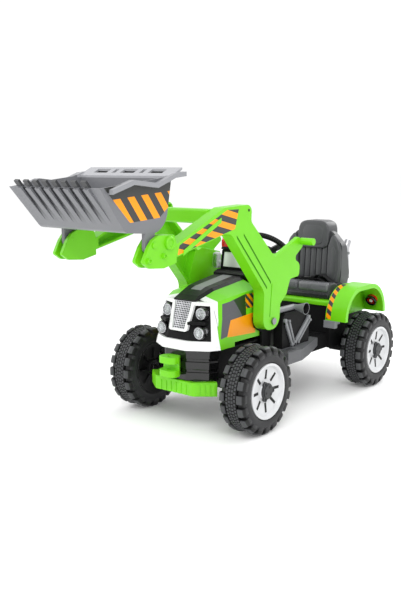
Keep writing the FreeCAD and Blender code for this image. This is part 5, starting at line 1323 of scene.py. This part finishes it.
@dataclass
class Nose:
    """Fascia, lamps, grille, bumper, guard and hitch; lamp sections are depths with shares of the radius."""

    studio: Studio
    wall: float = FRONT_AXLE_Y - 0.045
    lamps: tuple[Triple, ...] = ((0.067, 0.352, 0.026), (0.074, 0.297, 0.044))
    lamp_radius: float = 0.0185
    bowl_shares: Profile = (
        (-0.003, 1.0), (0.0, 0.95), (0.0, 0.84), (-0.006, 0.80), (-0.006, 0.71), (-0.003, 0.66),
        (-0.009, 0.40), (-0.009, 0.30), (-0.003, 0.26), (-0.0016, 0.16), (-0.0012, 0.0),
    )
    lens_shares: Profile = ((-0.0012, 0.0), (-0.0012, 0.83), (-0.0002, 0.72), (0.0008, 0.4), (0.0012, 0.0))
    collar_shares: Profile = (
        (-0.014, 1.01), (-0.014, 1.14), (-0.006, 1.14), (-0.0035, 1.08), (-0.0035, 1.01),
    )
    step_shares: Profile = ((-0.0062, 0.80), (-0.0044, 0.79), (-0.0044, 0.70), (-0.0062, 0.69))
    grille_foot: Triple = (0.0, -0.0929, 0.304)
    grille_head: Triple = (0.0, -0.0652, 0.3855)
    grille_half: float = 0.0289
    grille_taper: float = 0.118
    grille_proud: float = 0.001
    sheet_half: float = 0.068
    sheet_cells: int = 21
    sheet_thick: float = 0.0009
    hole_rim: float = 0.0013
    hole_area: float = 0.00003
    pad_ends: tuple[Triple, Triple] = ((80.8, -111.4, 110.0), (130.2, -71.3, 110.0))
    pad_count: int = 4
    pad_gap_share: float = 0.09
    pad_rise: float = 0.036
    pad_sunk: float = 0.0005
    pad_depth: float = 0.0021
    pad_edge: float = 0.0007
    web_outline: Profile = (
        (90.0, 364.0), (98.5, 364.0), (102.0, 353.0), (108.5, 336.0), (112.0, 318.0), (114.3, 300.0),
        (115.5, 288.0), (106.0, 288.0), (102.0, 300.0), (98.0, 318.0), (94.0, 336.0), (90.0, 353.0),
    )
    web_behind: float = -45.0
    web_thick: float = 0.0025

    def build(self) -> None:
        """Builds the lamps, the grille, the fascia's wall and the guard's pads, and dresses the rest."""
        self.headlamps()
        self.grille()
        self.web()
        self.guard_pads()
        self.studio.dress(Finish.WHITE, "front_fascia", edge=0.002)
        self.studio.dress(Finish.MATTE, "lamp_panel", edge=0.0015)
        self.studio.dress(Finish.GLOSS, "front_bumper", edge=0.0025)
        self.studio.dress(Finish.LIME, "lower_guard", edge=0.002)
        self.studio.dress(Finish.LIME, "tow_hitch", edge=0.0045)

    def section(self, shares: Profile, proud: float) -> list[Pair]:
        """A lamp's section, from depths before its front and shares of its radius."""
        return [(proud + depth, self.lamp_radius * share) for depth, share in shares]

    def headlamps(self) -> None:
        """Round lamps: a bright bezel and stepped bowl with a bulb, under a clear domed lens."""
        bowls, lenses, collars = Form(), Form(), Form()
        back = [(0.0, 0.0), (0.0, self.lamp_radius)]
        for across, height, proud in self.lamps:
            centre = Vector((across, self.wall, height))
            bowls.turned(back + self.section(self.bowl_shares, proud), centre, -BACK)
            lenses.turned(self.section(self.lens_shares, proud), centre, -BACK)
            for ring in (self.collar_shares, self.step_shares):
                collars.turned(self.section(ring, proud), centre, -BACK, closed=True)
        for form in (bowls, lenses, collars):
            form.mirror()
        bowls.piece(self.studio, "lamp_bowls", "chassis", Finish.SILVER, stands_for=["headlamps"])
        lenses.piece(self.studio, "lamp_lenses", "chassis", Finish.CLEAR)
        collars.piece(self.studio, "lamp_collars", "chassis", Finish.GLOSS)

    def grille(self) -> None:
        """A bright sheet with rows of small holes, over the dark grille plate."""
        low, high = Vector(self.grille_foot), Vector(self.grille_head)
        rise = high - low
        end = BACK * (rise.length / 2)
        form = Form()
        bmesh.ops.create_grid(
            form.mesh, x_segments=self.sheet_cells, y_segments=self.sheet_cells, size=self.sheet_half
        )
        trims = [(-end, -BACK), (end, BACK)]
        for way in (1, -1):
            trims.append((LEFT * (self.grille_half * way), Vector((way, -self.grille_taper, 0.0))))
        for point, normal in trims:
            bmesh.ops.bisect_plane(
                form.mesh, geom=form.parts(form.mesh.verts), plane_co=point, plane_no=normal, clear_outer=True
            )
        holes = [face for face in form.mesh.faces if face.calc_area() > self.hole_area]
        bmesh.ops.inset_individual(form.mesh, faces=holes, thickness=self.hole_rim)
        bmesh.ops.delete(form.mesh, geom=holes, context="FACES")
        bmesh.ops.solidify(form.mesh, geom=form.mesh.faces[:], thickness=self.sheet_thick)
        slope = rise.normalized()
        turn = Matrix((LEFT, slope, LEFT.cross(slope))).transposed().to_4x4()
        middle = (low + high) / 2 + BACK * (FRONT_AXLE_Y - self.grille_proud)
        bmesh.ops.transform(form.mesh, matrix=Matrix.Translation(middle) @ turn, verts=form.mesh.verts[:])
        form.piece(self.studio, "grille_mesh", "chassis", Finish.SILVER, sharp=SOFT_BEND)
        self.studio.dress(Finish.MATTE, "grille", edge=0.0)

    def guard_pads(self) -> None:
        """Raised pads along the guard's raked flanks, with narrow gaps between them."""
        form = Form()
        start, end = (spot(*place) for place in self.pad_ends)
        pitch = (end - start) / self.pad_count
        rise = UP * self.pad_rise
        out = pitch.cross(rise).normalized()
        for index in range(self.pad_count):
            near = start + pitch * (index + self.pad_gap_share) - out * self.pad_sunk
            far = near + pitch * (1 - 2 * self.pad_gap_share)
            form.prism([near, far, far + rise, near + rise], out * self.pad_depth, self.pad_edge, 2)
        form.mirror()
        form.piece(self.studio, "guard_pads", "chassis", Finish.LIME)

    def web(self) -> None:
        """A pale wall on each side that closes the gap between the fascia and the bonnet."""
        form = Form()
        corners = [spot(across, self.web_behind, up) for across, up in self.web_outline]
        form.prism(corners, BACK * self.web_thick)
        form.mirror()
        form.piece(self.studio, "fascia_web", "chassis", Finish.WHITE)


@dataclass
class Bonnet:
    """The bonnet shell with its printed sides and the gloss strip along its top."""

    studio: Studio

    def build(self) -> None:
        """Dresses the shell and the strip."""
        self.studio.dress(Finish.BONNET, "bonnet_shell", edge=0.002)
        self.studio.dress(Finish.STRIP, "bonnet_strip", edge=0.002)


@dataclass
class Cockpit:
    """Cowl, windscreen, beacon, mirrors and steering; places and the mirrors' outline are in millimetres."""

    studio: Studio
    beacon_place: Triple = (-76.0, 238.0, 514.0)
    beacon_foot: Profile = (
        (0.0, 0.0), (0.0, 0.0148), (0.004, 0.0148), (0.005, 0.0138), (0.0085, 0.0132), (0.0095, 0.0122),
        (0.0095, 0.0),
    )
    beacon_dome: Profile = (
        (0.009, 0.0), (0.009, 0.0132), (0.030, 0.0120), (0.038, 0.0106), (0.0430, 0.0074), (0.0455, 0.0030),
        (0.0460, 0.0),
    )
    beacon_sides: int = 48
    beacon_rib: Triple = (0.0012, 0.0006, 0.0100)
    beacon_rib_offset: Triple = (0.0127, 0.0, 0.0205)
    beacon_rib_edge: float = 0.0004
    beacon_ribs: int = 24
    glass: Profile = (
        (106.0, 456.0), (110.0, 451.0), (119.0, 451.0), (123.0, 456.0), (123.0, 491.0), (119.0, 496.0),
        (110.0, 496.0), (106.0, 491.0),
    )
    glass_faces: Profile = ((230.4, -1.2), (245.6, 1.2))
    glass_edge: float = 0.0005
    gauge_place: Triple = (48.0, 260.0, 424.0)
    gauge_ring: Profile = (
        (0.0, 0.0165), (0.0, 0.0205), (0.003, 0.0205), (0.0042, 0.0190), (0.0030, 0.0165),
    )
    tick: Triple = (0.0005, 0.0006, 0.0020)
    tick_offset: Triple = (0.0, 0.0014, 0.0138)
    tick_edge: float = 0.0002
    tick_count: int = 12
    hand: Profile = ((-0.001, -0.003), (0.001, -0.003), (0.0, 0.011))
    hand_proud: float = 0.0012
    hand_thick: float = 0.0008
    wheel_place: Triple = (0.0, 383.0, 500.0)
    wheel_axis: Triple = (0.0, 357.0, 355.0)
    wheel_ring: float = 0.083
    wheel_grip: float = 0.0092
    wheel_sides: int = 72
    grip_sides: int = 16

    def build(self) -> None:
        """Builds the beacon, the mirrors' glasses, the gauges and the grip, and dresses the controls."""
        self.beacon()
        self.mirror_glasses()
        self.gauge()
        self.grip_ring()
        self.studio.dress(Finish.MATTE, "dash_cowl", "windscreen_frame", "accelerator_pedal", "drive_lever")
        self.studio.dress(Finish.CAP, "steering_wheel", edge=0.001)
        self.studio.dress(Finish.PANE, "windscreen_pane", edge=0.0)
        self.studio.dress(Finish.PALE, "mirrors", edge=0.0025)
        self.studio.dress(Finish.CHARCOAL, "horn_button", edge=0.0008)
        self.studio.dress(Finish.STEEL, "steering_column", edge=0.0)

    def beacon(self) -> None:
        """A ribbed red dome on a dark stepped foot."""
        foot = spot(*self.beacon_place)
        base = Form()
        base.turned(self.beacon_foot, foot, UP)
        base.piece(self.studio, "beacon_foot", "chassis", Finish.MATTE)
        dome = Form()
        dome.turned(self.beacon_dome, foot, UP, self.beacon_sides)
        start = dome.held
        dome.block(foot + Vector(self.beacon_rib_offset), self.beacon_rib, self.beacon_rib_edge, 1)
        dome.repeat(start, foot, UP, self.beacon_ribs)
        dome.piece(self.studio, "beacon_dome", "chassis", Finish.RED, stands_for=["beacon"])

    def mirror_glasses(self) -> None:
        """Bright glasses set in the front and rear of the two mirror heads."""
        form = Form()
        for behind, depth in self.glass_faces:
            corners = [spot(across, behind, up) for across, up in self.glass]
            form.prism(corners, BACK * (depth * MM), self.glass_edge, 2)
        form.mirror()
        form.piece(self.studio, "mirror_glasses", "chassis", Finish.SILVER)

    def gauge(self) -> None:
        """A round gauge with ticks and a hand on each side of the cowl's rear."""
        centre = spot(*self.gauge_place)
        form = Form()
        form.turned(self.gauge_ring, centre, BACK, closed=True)
        start = form.held
        form.block(centre + Vector(self.tick_offset), self.tick, self.tick_edge, 1)
        form.repeat(start, centre, BACK, self.tick_count)
        hand = [centre + Vector((across, self.hand_proud, up)) for across, up in self.hand]
        form.prism(hand, BACK * self.hand_thick)
        form.mirror()
        form.piece(self.studio, "gauges", "chassis", Finish.PALE)

    def grip_ring(self) -> None:
        """A smooth grip over the steering wheel's ring."""
        form = Form()
        turns = [math.tau * step / self.grip_sides for step in range(self.grip_sides)]
        grip = self.wheel_grip
        section = [(grip * math.sin(turn), self.wheel_ring + grip * math.cos(turn)) for turn in turns]
        axis = Vector(self.wheel_axis).normalized()
        form.turned(section, spot(*self.wheel_place), axis, self.wheel_sides, closed=True)
        form.piece(self.studio, "steering_grip", "steering", Finish.MATTE)


@dataclass
class Loader:
    """Lifting arms, cross beam, brackets, pins and the bucket; places and outlines are in millimetres."""

    studio: Studio
    arm_face: float = 174.3
    bosses_at: tuple[Triple, ...] = ((-330.0, 592.0, 17.5), (-352.0, 560.0, 7.0), (-410.0, 552.0, 7.0))
    boss_shares: Profile = (
        (0.0, 0.0), (0.0, 1.0), (0.0075, 1.0), (0.0095, 0.88), (0.0095, 0.66), (0.0070, 0.58), (0.0074, 0.3),
        (0.0076, 0.0),
    )
    boss_sunk: float = 2.0
    # a dark sheet under the flange's slots, as painted shade
    shade_sheet_ends: tuple[Triple, Triple] = ((-166.0, -312.0, 762.0), (-166.0, -282.0, 776.0))
    shade_sheet_length: float = 0.332
    shade_sheet_thick: float = 0.0016
    shade_sheet_edge: float = 0.0004
    bead: Profile = ((148.2, 428.0), (152.0, 430.0), (142.5, 326.0), (138.7, 325.0))
    bead_sunk: float = 1.0
    bead_depth: float = 0.0026
    bead_edge: float = 0.0008
    screws_at: Profile = ((23.0, 662.0), (-262.0, 566.0))
    screw: Profile = (
        (0.0, 0.0), (0.0, 0.0042), (0.0012, 0.0042), (0.0018, 0.0034), (0.0014, 0.0014), (0.0004, 0.0010),
        (0.0004, 0.0),
    )
    screw_sunk: float = 0.6
    screw_sides: int = 20

    def build(self) -> None:
        """Builds the bosses, screws, raised lines and the dark sheet of painted shade under the flange, and
        dresses the arms and the bucket.
        """
        self.bosses()
        self.screws()
        self.beads()
        self.shade_sheet()
        self.studio.dress(Finish.ARM, "left_arm", "right_arm", edge=0.0025)
        self.studio.dress(Finish.LIME, "arm_cross_beam", "bucket_brackets", edge=0.0025)
        self.studio.dress(Finish.LIME, "bucket_pins", edge=0.0005)
        self.studio.dress(Finish.BUCKET, "bucket", edge=0.0018)
        self.studio.dress(Finish.STEEL, "pivot_bolts", edge=0.0008)
        self.studio.dress(Finish.MATTE, "arm_posts", edge=0.002)

    def bosses(self) -> None:
        """Round moulded bosses where the brackets meet the arms."""
        form = Form()
        for behind, up, radius in self.bosses_at:
            section = [(depth, radius * MM * share) for depth, share in self.boss_shares]
            form.turned(section, spot(self.arm_face - self.boss_sunk, behind, up), LEFT)
        form.mirror()
        form.piece(self.studio, "bracket_bosses", "loader", Finish.LIME)

    def shade_sheet(self) -> None:
        """A dark tilted strip under the slots of the bucket's back flange, as painted shade."""
        form = Form()
        near, far = (spot(*place) for place in self.shade_sheet_ends)
        thick = UP * -self.shade_sheet_thick
        form.prism([near, far, far + thick, near + thick], LEFT * self.shade_sheet_length, self.shade_sheet_edge, 1)
        form.piece(self.studio, "flange_shade_sheet", "bucket", Finish.MATTE)

    def beads(self) -> None:
        """A raised line down the lower limb of each arm."""
        form = Form()
        corners = [spot(self.arm_face - self.bead_sunk, behind, up) for behind, up in self.bead]
        form.prism(corners, LEFT * self.bead_depth, self.bead_edge, 2)
        form.mirror()
        form.piece(self.studio, "arm_beads", "loader", Finish.LIME)

    def screws(self) -> None:
        """Low screw heads on the arms."""
        form = Form()
        for behind, up in self.screws_at:
            form.turned(self.screw, spot(self.arm_face - self.screw_sunk, behind, up), LEFT, self.screw_sides)
        form.mirror()
        form.piece(self.studio, "arm_screws", "loader", Finish.BLACK_STEEL)


@dataclass
class Middle:
    """Tub, dummy engines, pipes and footrests; places are in millimetres."""

    studio: Studio
    strut_face: float = 171.5
    struts: tuple[tuple[Pair, Pair, float], ...] = (
        ((268.0, 216.0), (226.0, 300.0), 5.6),
        ((282.0, 216.0), (248.0, 296.0), 4.0),
        ((284.0, 218.0), (366.0, 292.0), 6.4),
        ((304.0, 218.0), (376.0, 282.0), 3.6),
    )
    strut_depth: float = 0.0072
    strut_edge: float = 0.0016
    head_shares: Profile = ((0.0, 0.0), (0.0, 1.25), (0.0078, 1.25), (0.0088, 1.0), (0.0088, 0.0))
    head_sides: int = 20
    mouth: Triple = (172.0, 302.0, 333.0)
    # a dark cone inside each pipe's mouth, as painted shade
    shade_cone: Profile = (
        (0.001, 0.0), (0.001, 0.0062), (0.0335, 0.0174), (0.0328, 0.0176), (0.0004, 0.0066), (0.0004, 0.0),
    )
    tread_start: Triple = (186.0, 186.0, 210.0)
    tread: Triple = (0.027, 0.005, 0.0022)
    tread_pitch: float = 9.6
    tread_count: int = 6
    tread_edge: float = 0.0009
    pedal_hinge: Triple = (-196.0, 262.0, 216.0)
    pedal_run: Pair = (72.0, 18.0)
    pedal_skin: float = 3.2
    bar: Triple = (0.0100, 0.0028, 0.0013)
    bar_first: float = 20.0
    bar_pitch: float = 12.0
    bar_count: int = 4

    def build(self) -> None:
        """Builds the struts, the dark cones of painted shade in the pipes' mouths and the treads, and dresses
        the tub and its sides.
        """
        self.struts_and_heads()
        self.shade_cones()
        self.treads()
        self.studio.dress(Finish.MATTE, "chassis_tub", "engine_covers", edge=0.0015)
        self.studio.dress(Finish.ALLOY, "side_pipes", edge=0.001)
        self.studio.dress(Finish.FOOT, "footrests", edge=0.002)

    def struts_and_heads(self) -> None:
        """Grey struts that fan out over each dummy engine, with a round head at each end."""
        form = Form()
        for foot, head, half in self.struts:
            start, end = (spot(self.strut_face, *place) for place in (foot, head))
            side = LEFT.cross(end - start).normalized() * (half * MM)
            corners = [start - side, start + side, end + side, end - side]
            form.prism(corners, LEFT * self.strut_depth, self.strut_edge, 2)
            section = [(depth, half * MM * share) for depth, share in self.head_shares]
            for place in (start, end):
                form.turned(section, place, LEFT, self.head_sides)
        form.mirror()
        form.piece(self.studio, "engine_struts", "chassis", Finish.ALLOY)

    def shade_cones(self) -> None:
        """Dark cones inside the flared mouths of the side pipes, as painted shade."""
        form = Form()
        form.turned(self.shade_cone, spot(*self.mouth), LEFT)
        form.mirror()
        form.piece(self.studio, "pipe_shade_cones", "chassis", Finish.MATTE)

    def treads(self) -> None:
        """Rounded grip bars on the left footrest, and on the pedal."""
        rest = Form()
        for index in range(self.tread_count):
            low = spot(*self.tread_start) + BACK * (self.tread_pitch * index * MM)
            rest.box(low, low + Vector(self.tread), self.tread_edge, 2)
        rest.piece(self.studio, "foot_treads", "chassis", Finish.CHARCOAL)
        pad = Form()
        run, rise = self.pedal_run
        tilt = Matrix.Rotation(-math.atan2(rise, run), 3, "X")
        for index in range(self.bar_count):
            start = pad.held
            along = self.bar_first + self.bar_pitch * index
            lift = along * rise / run + self.pedal_skin
            middle = spot(*self.pedal_hinge) + (UP * lift - BACK * along) * MM
            pad.block(middle, self.bar, self.tread_edge, 2)
            bmesh.ops.rotate(pad.mesh, cent=middle, matrix=tilt, verts=pad.made_since(start))
        pad.piece(self.studio, "pedal_treads", "pedal", Finish.CHARCOAL)


@dataclass
class Seat:
    """Seat tray, fluted seat mouldings, headrest and lap belt; places and outlines are in millimetres."""

    studio: Studio
    foot: Pair = (671.0, 318.0)
    lean: float = 16.0 / 236.0
    roll_pitch: float = 24.0
    roll_share: float = 0.47
    roll_count: int = 5
    roll_span: Pair = (374.0, 500.0)
    roll_faces: Pair = (-6.5, 9.0)
    roll_edge: float = 0.0068
    bolster: Profile = (
        (63.0, 376.0), (100.0, 340.0), (114.0, 352.0), (118.5, 420.0), (117.0, 486.0), (104.0, 522.0),
        (84.0, 544.0), (72.0, 530.0), (63.0, 500.0),
    )
    bolster_face: float = -15.0
    bolster_depth: float = 0.034
    bolster_edge: float = 0.0105
    bolster_crown: float = 1.01
    panel: Profile = (
        (80.0, 392.0), (97.0, 372.0), (104.0, 384.0), (107.0, 430.0), (105.0, 470.0), (92.0, 502.0),
        (80.0, 488.0),
    )
    panel_face: float = -16.5
    panel_depth: float = 0.008
    panel_edge: float = 0.0022
    rest: Profile = (
        (0.0, 488.0), (44.0, 489.0), (60.0, 496.0), (66.0, 512.0), (66.5, 535.0), (64.0, 562.0),
        (58.0, 579.0), (46.0, 587.0), (28.0, 590.5),
    )
    rest_face: float = -17.0
    rest_depth: float = 0.073
    rest_edge: float = 0.0170
    pad_face: float = -19.0
    pad_middle: float = 536.0
    pad_shares: Pair = (0.66, 0.7)
    pad_depth: float = 0.012
    pad_edge: float = 0.0030
    front_roll: tuple[Pair, Pair, Pair] = ((1.5, 128.0), (567.5, 604.0), (343.0, 377.0))
    front_edge: float = 0.0125
    plinth: tuple[Triple, Triple] = ((-130.0, 570.5, 320.0), (130.0, 590.0, 338.0))
    plinth_edge: float = 0.004
    rib: Profile = (
        (726.0, 332.0), (739.5, 401.0), (722.5, 486.0), (712.0, 486.0), (725.0, 401.0), (714.0, 332.0),
    )
    ribs_at: tuple[float, ...] = (-76.0, -38.0, 0.0, 38.0, 76.0)
    rib_half: float = 3.0
    rib_edge: float = 0.0012
    rails_at: Profile = ((346.0, 731.0), (401.0, 739.0), (456.0, 728.5))
    rail_half: float = 92.0
    rail_depth: float = 12.0
    strap: Profile = (
        (133.6, 320.0), (133.8, 345.0), (133.4, 360.0), (130.0, 367.6), (122.0, 369.4), (104.0, 368.2),
        (84.0, 368.6), (66.0, 374.0), (50.0, 380.5), (36.0, 380.0), (24.0, 375.0),
    )
    tail: Profile = (
        (25.0, 378.0), (30.0, 388.0), (42.0, 395.0), (58.0, 395.5), (76.0, 389.0), (92.0, 379.0),
        (104.0, 372.6), (114.0, 371.4),
    )
    strap_behind: float = 633.5
    strap_width: float = 0.033
    strap_thick: float = 0.0018
    button: tuple[Triple, Triple] = ((-16.0, 638.0, 379.0), (16.0, 662.0, 384.5))
    button_edge: float = 0.002
    adjuster: tuple[Pair, Pair, Pair] = ((62.0, 78.0), (631.0, 669.0), (366.0, 371.5))
    adjuster_edge: float = 0.0016

    def build(self) -> None:
        """Builds the rolls, bolsters, headrest, ribs, strap and buckle and dresses the seat."""
        self.back_rolls()
        self.bolsters()
        self.headrest()
        self.front_rolls()
        self.back_ribs()
        self.belt()
        self.buckle()
        self.studio.dress(Finish.LIME, "seat_tray", edge=0.002)
        self.studio.dress(Finish.CHARCOAL, "seat_base", "seat_back", edge=0.004)
        self.studio.dress(Finish.MATTE, "belt_buckle", edge=0.001)

    def face(self, up: float) -> float:
        """How far the backrest's front lies behind the front axle at a height."""
        return self.foot[0] + (up - self.foot[1]) * self.lean

    @staticmethod
    def both_sides(form: Form, spans: tuple[Pair, Pair, Pair], edge: float, steps: int) -> None:
        """Adds a rounded box on the left, and its like on the right.

        Args:
            form: the mesh.
            spans: the left box's reach across, behind the front axle and up.
            edge: the radius of its edges.
            steps: segments of the round.
        """
        (near, far), behind, up = spans
        for low, high in ((near, far), (-far, -near)):
            form.box(spot(low, behind[0], up[0]), spot(high, behind[1], up[1]), edge, steps)

    def back_rolls(self) -> None:
        """Upright rounded rolls down the middle of the backrest."""
        form = Form()
        half = self.roll_pitch * self.roll_share
        low, high = self.roll_span
        front, rear = self.roll_faces
        outline = ((front, low), (rear, low), (rear, high), (front, high))
        for index in range(self.roll_count):
            across = (index - self.roll_count // 2) * self.roll_pitch - half
            corners = [spot(across, self.face(up) + depth, up) for depth, up in outline]
            form.prism(corners, LEFT * (half * 2 * MM), self.roll_edge, 4)
        form.piece(self.studio, "back_rolls", "chassis", Finish.CHARCOAL, sharp=SOFT_BEND)

    def bolsters(self) -> None:
        """Curved side wings that hold the rider, with a raised panel on each."""
        form = Form()
        wing = [spot(across, self.face(up) + self.bolster_face, up) for across, up in self.bolster]
        form.prism(wing, BACK * self.bolster_depth, self.bolster_edge, 5, crown=self.bolster_crown)
        panel = [spot(across, self.face(up) + self.panel_face, up) for across, up in self.panel]
        form.prism(panel, BACK * self.panel_depth, self.panel_edge, 3)
        form.mirror()
        form.piece(self.studio, "back_bolsters", "chassis", Finish.CHARCOAL, sharp=SOFT_BEND)

    def headrest(self) -> None:
        """A deep rounded headrest that stands ahead of the rolls, with a raised front pad."""
        form = Form()
        outline = [*self.rest, *flipped(self.rest[1:])]
        rest = [spot(across, self.face(up) + self.rest_face, up) for across, up in outline]
        form.prism(rest, BACK * self.rest_depth, self.rest_edge, 7)
        wide, tall = self.pad_shares
        middle = self.pad_middle
        pad = [
            spot(across * wide, self.face(up) + self.pad_face, middle + (up - middle) * tall)
            for across, up in outline
        ]
        form.prism(pad, BACK * self.pad_depth, self.pad_edge, 4)
        form.piece(self.studio, "headrest_pad", "chassis", Finish.CHARCOAL, sharp=SOFT_BEND)

    def front_rolls(self) -> None:
        """Two rounded rolls along the seat's front, over a plinth."""
        form = Form()
        self.both_sides(form, self.front_roll, self.front_edge, 5)
        form.box(*(spot(*corner) for corner in self.plinth), self.plinth_edge, 3)
        # the rolls take the paler charcoal that is painted light
        form.piece(self.studio, "seat_rolls", "chassis", Finish.CUSHION_LIT, sharp=SOFT_BEND)

    def back_ribs(self) -> None:
        """Upright and level ribs that stiffen the back of the seat."""
        form = Form()
        half = self.rib_half
        for across in self.ribs_at:
            corners = [spot(across - half, behind, up) for behind, up in self.rib]
            form.prism(corners, LEFT * (half * 2 * MM), self.rib_edge, 2)
        for up, behind in self.rails_at:
            low = spot(-self.rail_half, behind - self.rail_depth, up - half)
            form.box(low, spot(self.rail_half, behind, up + half), self.rib_edge, 2)
        form.piece(self.studio, "back_ribs", "chassis", Finish.CHARCOAL)

    def belt(self) -> None:
        """A woven strap over the seat from side to side, with a free tail folded back from the buckle."""
        form = Form()
        for way in (self.strap, [(-across, up) for across, up in self.strap], self.tail):
            verts = [form.mesh.verts.new(spot(across, self.strap_behind, up)) for across, up in way]
            edges = [form.mesh.edges.new(pair) for pair in zip(verts, verts[1:])]
            made = bmesh.ops.extrude_edge_only(form.mesh, edges=edges)["geom"]
            far = [item for item in made if isinstance(item, bmesh.types.BMVert)]
            bmesh.ops.translate(form.mesh, vec=BACK * self.strap_width, verts=far)
        bmesh.ops.subdivide_edges(form.mesh, edges=form.mesh.edges[:], cuts=2, smooth=0.6, use_grid_fill=True)
        bmesh.ops.recalc_face_normals(form.mesh, faces=form.mesh.faces[:])
        bmesh.ops.solidify(form.mesh, geom=form.mesh.faces[:], thickness=self.strap_thick)
        form.piece(
            self.studio, "belt_strap", "chassis", Finish.WEBBING, sharp=SOFT_BEND, stands_for=["lap_belt"]
        )

    def buckle(self) -> None:
        """The buckle's press button, and the strap's adjusters."""
        form = Form()
        form.box(*(spot(*corner) for corner in self.button), self.button_edge, 3)
        self.both_sides(form, self.adjuster, self.adjuster_edge, 2)
        form.piece(self.studio, "buckle_button", "chassis", Finish.GLOSS)


@dataclass
class Rear:
    """Mudguards, tail lamps, stays and stack; places are in millimetres."""

    studio: Studio
    lamp_tilt: float = math.radians(33.0)
    lamp_hub: Triple = (196.0, 660.0, 225.0)
    lamp_ends: tuple[Triple, Triple] = ((131.0, -1.0, 0.0), (171.0, 1.0, 4.0))
    lamp_ring: Profile = (
        (-0.004, 0.0196), (-0.004, 0.0215), (0.0030, 0.0215), (0.0050, 0.0195), (0.0045, 0.0150),
        (0.0008, 0.0140),
    )
    lamp_centre: Profile = ((0.0, 0.0), (0.0, 0.0066), (0.0024, 0.0060), (0.0034, 0.0030), (0.0036, 0.0))
    centre_sides: int = 32
    cover: tuple[Triple, Triple] = ((-106.0, 785.0, 186.0), (106.0, 793.0, 286.0))
    cover_edge: float = 0.0030
    louvre: tuple[Triple, Triple] = ((-88.0, 791.0, 198.0), (88.0, 796.5, 205.0))
    louvre_pitch: float = 14.0
    louvre_count: int = 6
    louvre_edge: float = 0.0020
    floor_rib: tuple[Triple, Triple] = ((-118.0, 432.0, 198.0), (118.0, 439.0, 202.5))
    floor_rib_pitch: float = 15.0
    floor_rib_count: int = 7
    floor_rib_edge: float = 0.0015
    stack: Pair = (86.0, 768.0)
    stack_radius: float = 0.0132
    bands: tuple[Triple, ...] = ((318.0, 6.0, 20.5), (372.0, 10.0, 14.8), (462.0, 10.0, 14.8))
    band_edge: float = 0.0012
    band_share: float = 0.7

    def build(self) -> None:
        """Builds the lamps' faces, the tub's ribs and the stack's bands and dresses the rear."""
        self.lamp_faces()
        self.tail_panel()
        self.clamps()
        self.studio.dress(Finish.GUARD, "mudguards", edge=0.002)
        self.studio.dress(Finish.RED, "tail_lamps", edge=0.001)
        self.studio.dress(Finish.ALLOY, "mudguard_stays", edge=0.0015)
        self.studio.dress(Finish.SILVER, "exhaust_stack", edge=0.001)

    def lamp_faces(self) -> None:
        """A dark ring and a pale centre on both ends of each tail lamp."""
        rings, centres = Form(), Form()
        aim = Vector((0.0, math.cos(self.lamp_tilt), math.sin(self.lamp_tilt)))
        for reach, way, lift in self.lamp_ends:
            end = spot(*self.lamp_hub) + aim * (reach * MM)
            rings.turned(self.lamp_ring, end, aim * way, closed=True)
            section = [(lift * MM + depth, radius) for depth, radius in self.lamp_centre]
            centres.turned(section, end, aim * way, self.centre_sides)
        for form in (rings, centres):
            form.mirror()
        rings.piece(self.studio, "tail_lamp_rings", "chassis", Finish.GLOSS)
        centres.piece(self.studio, "tail_lamp_centres", "chassis", Finish.WHITE)

    def tail_panel(self) -> None:
        """A louvred cover on the tub's back wall, and the ribs of the cockpit floor."""
        form = Form()
        form.box(*(spot(*corner) for corner in self.cover), self.cover_edge, 3)
        for index in range(self.louvre_count):
            step = UP * (self.louvre_pitch * index * MM)
            low, high = (spot(*corner) + step for corner in self.louvre)
            form.box(low, high, self.louvre_edge, 2)
        for index in range(self.floor_rib_count):
            step = BACK * (self.floor_rib_pitch * index * MM)
            low, high = (spot(*corner) + step for corner in self.floor_rib)
            form.box(low, high, self.floor_rib_edge, 2)
        form.piece(self.studio, "tub_ribs", "chassis", Finish.MATTE)

    def clamps(self) -> None:
        """A foot flange and two bands round the stack."""
        form = Form()
        inner = self.stack_radius
        for height, tall, wide in self.bands:
            rise, radius = tall * MM, wide * MM
            section = [(0.0, inner), (0.0, radius), (rise * self.band_share, radius)]
            section += [(rise, radius - self.band_edge), (rise, inner)]
            form.turned(section, spot(*self.stack, height), UP, closed=True)
        form.piece(self.studio, "stack_bands", "chassis", Finish.ALLOY)


@dataclass
class Underside:
    """Axles, knuckles, drive units and battery."""

    studio: Studio

    def build(self) -> None:
        """Dresses what works underneath."""
        self.studio.dress(Finish.STEEL, "rear_axle", "tie_rod", edge=0.0)
        self.studio.dress(Finish.BLACK_STEEL, "front_axle_beam", "left_knuckle", "right_knuckle", edge=0.0008)
        self.studio.dress(Finish.MATTE, "battery", "drive_units", edge=0.0015)


def main() -> None:
    """Builds the stage and every sub-assembly."""
    logging.basicConfig(level=logging.INFO, format="%(message)s")
    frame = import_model()
    studio = Studio(frame["nodes"])
    Stage().build()
    for assembly in (Wheels, Nose, Bonnet, Cockpit, Loader, Middle, Seat, Rear, Underside):
        assembly(studio).build()


if __name__ == "__main__":
    main()
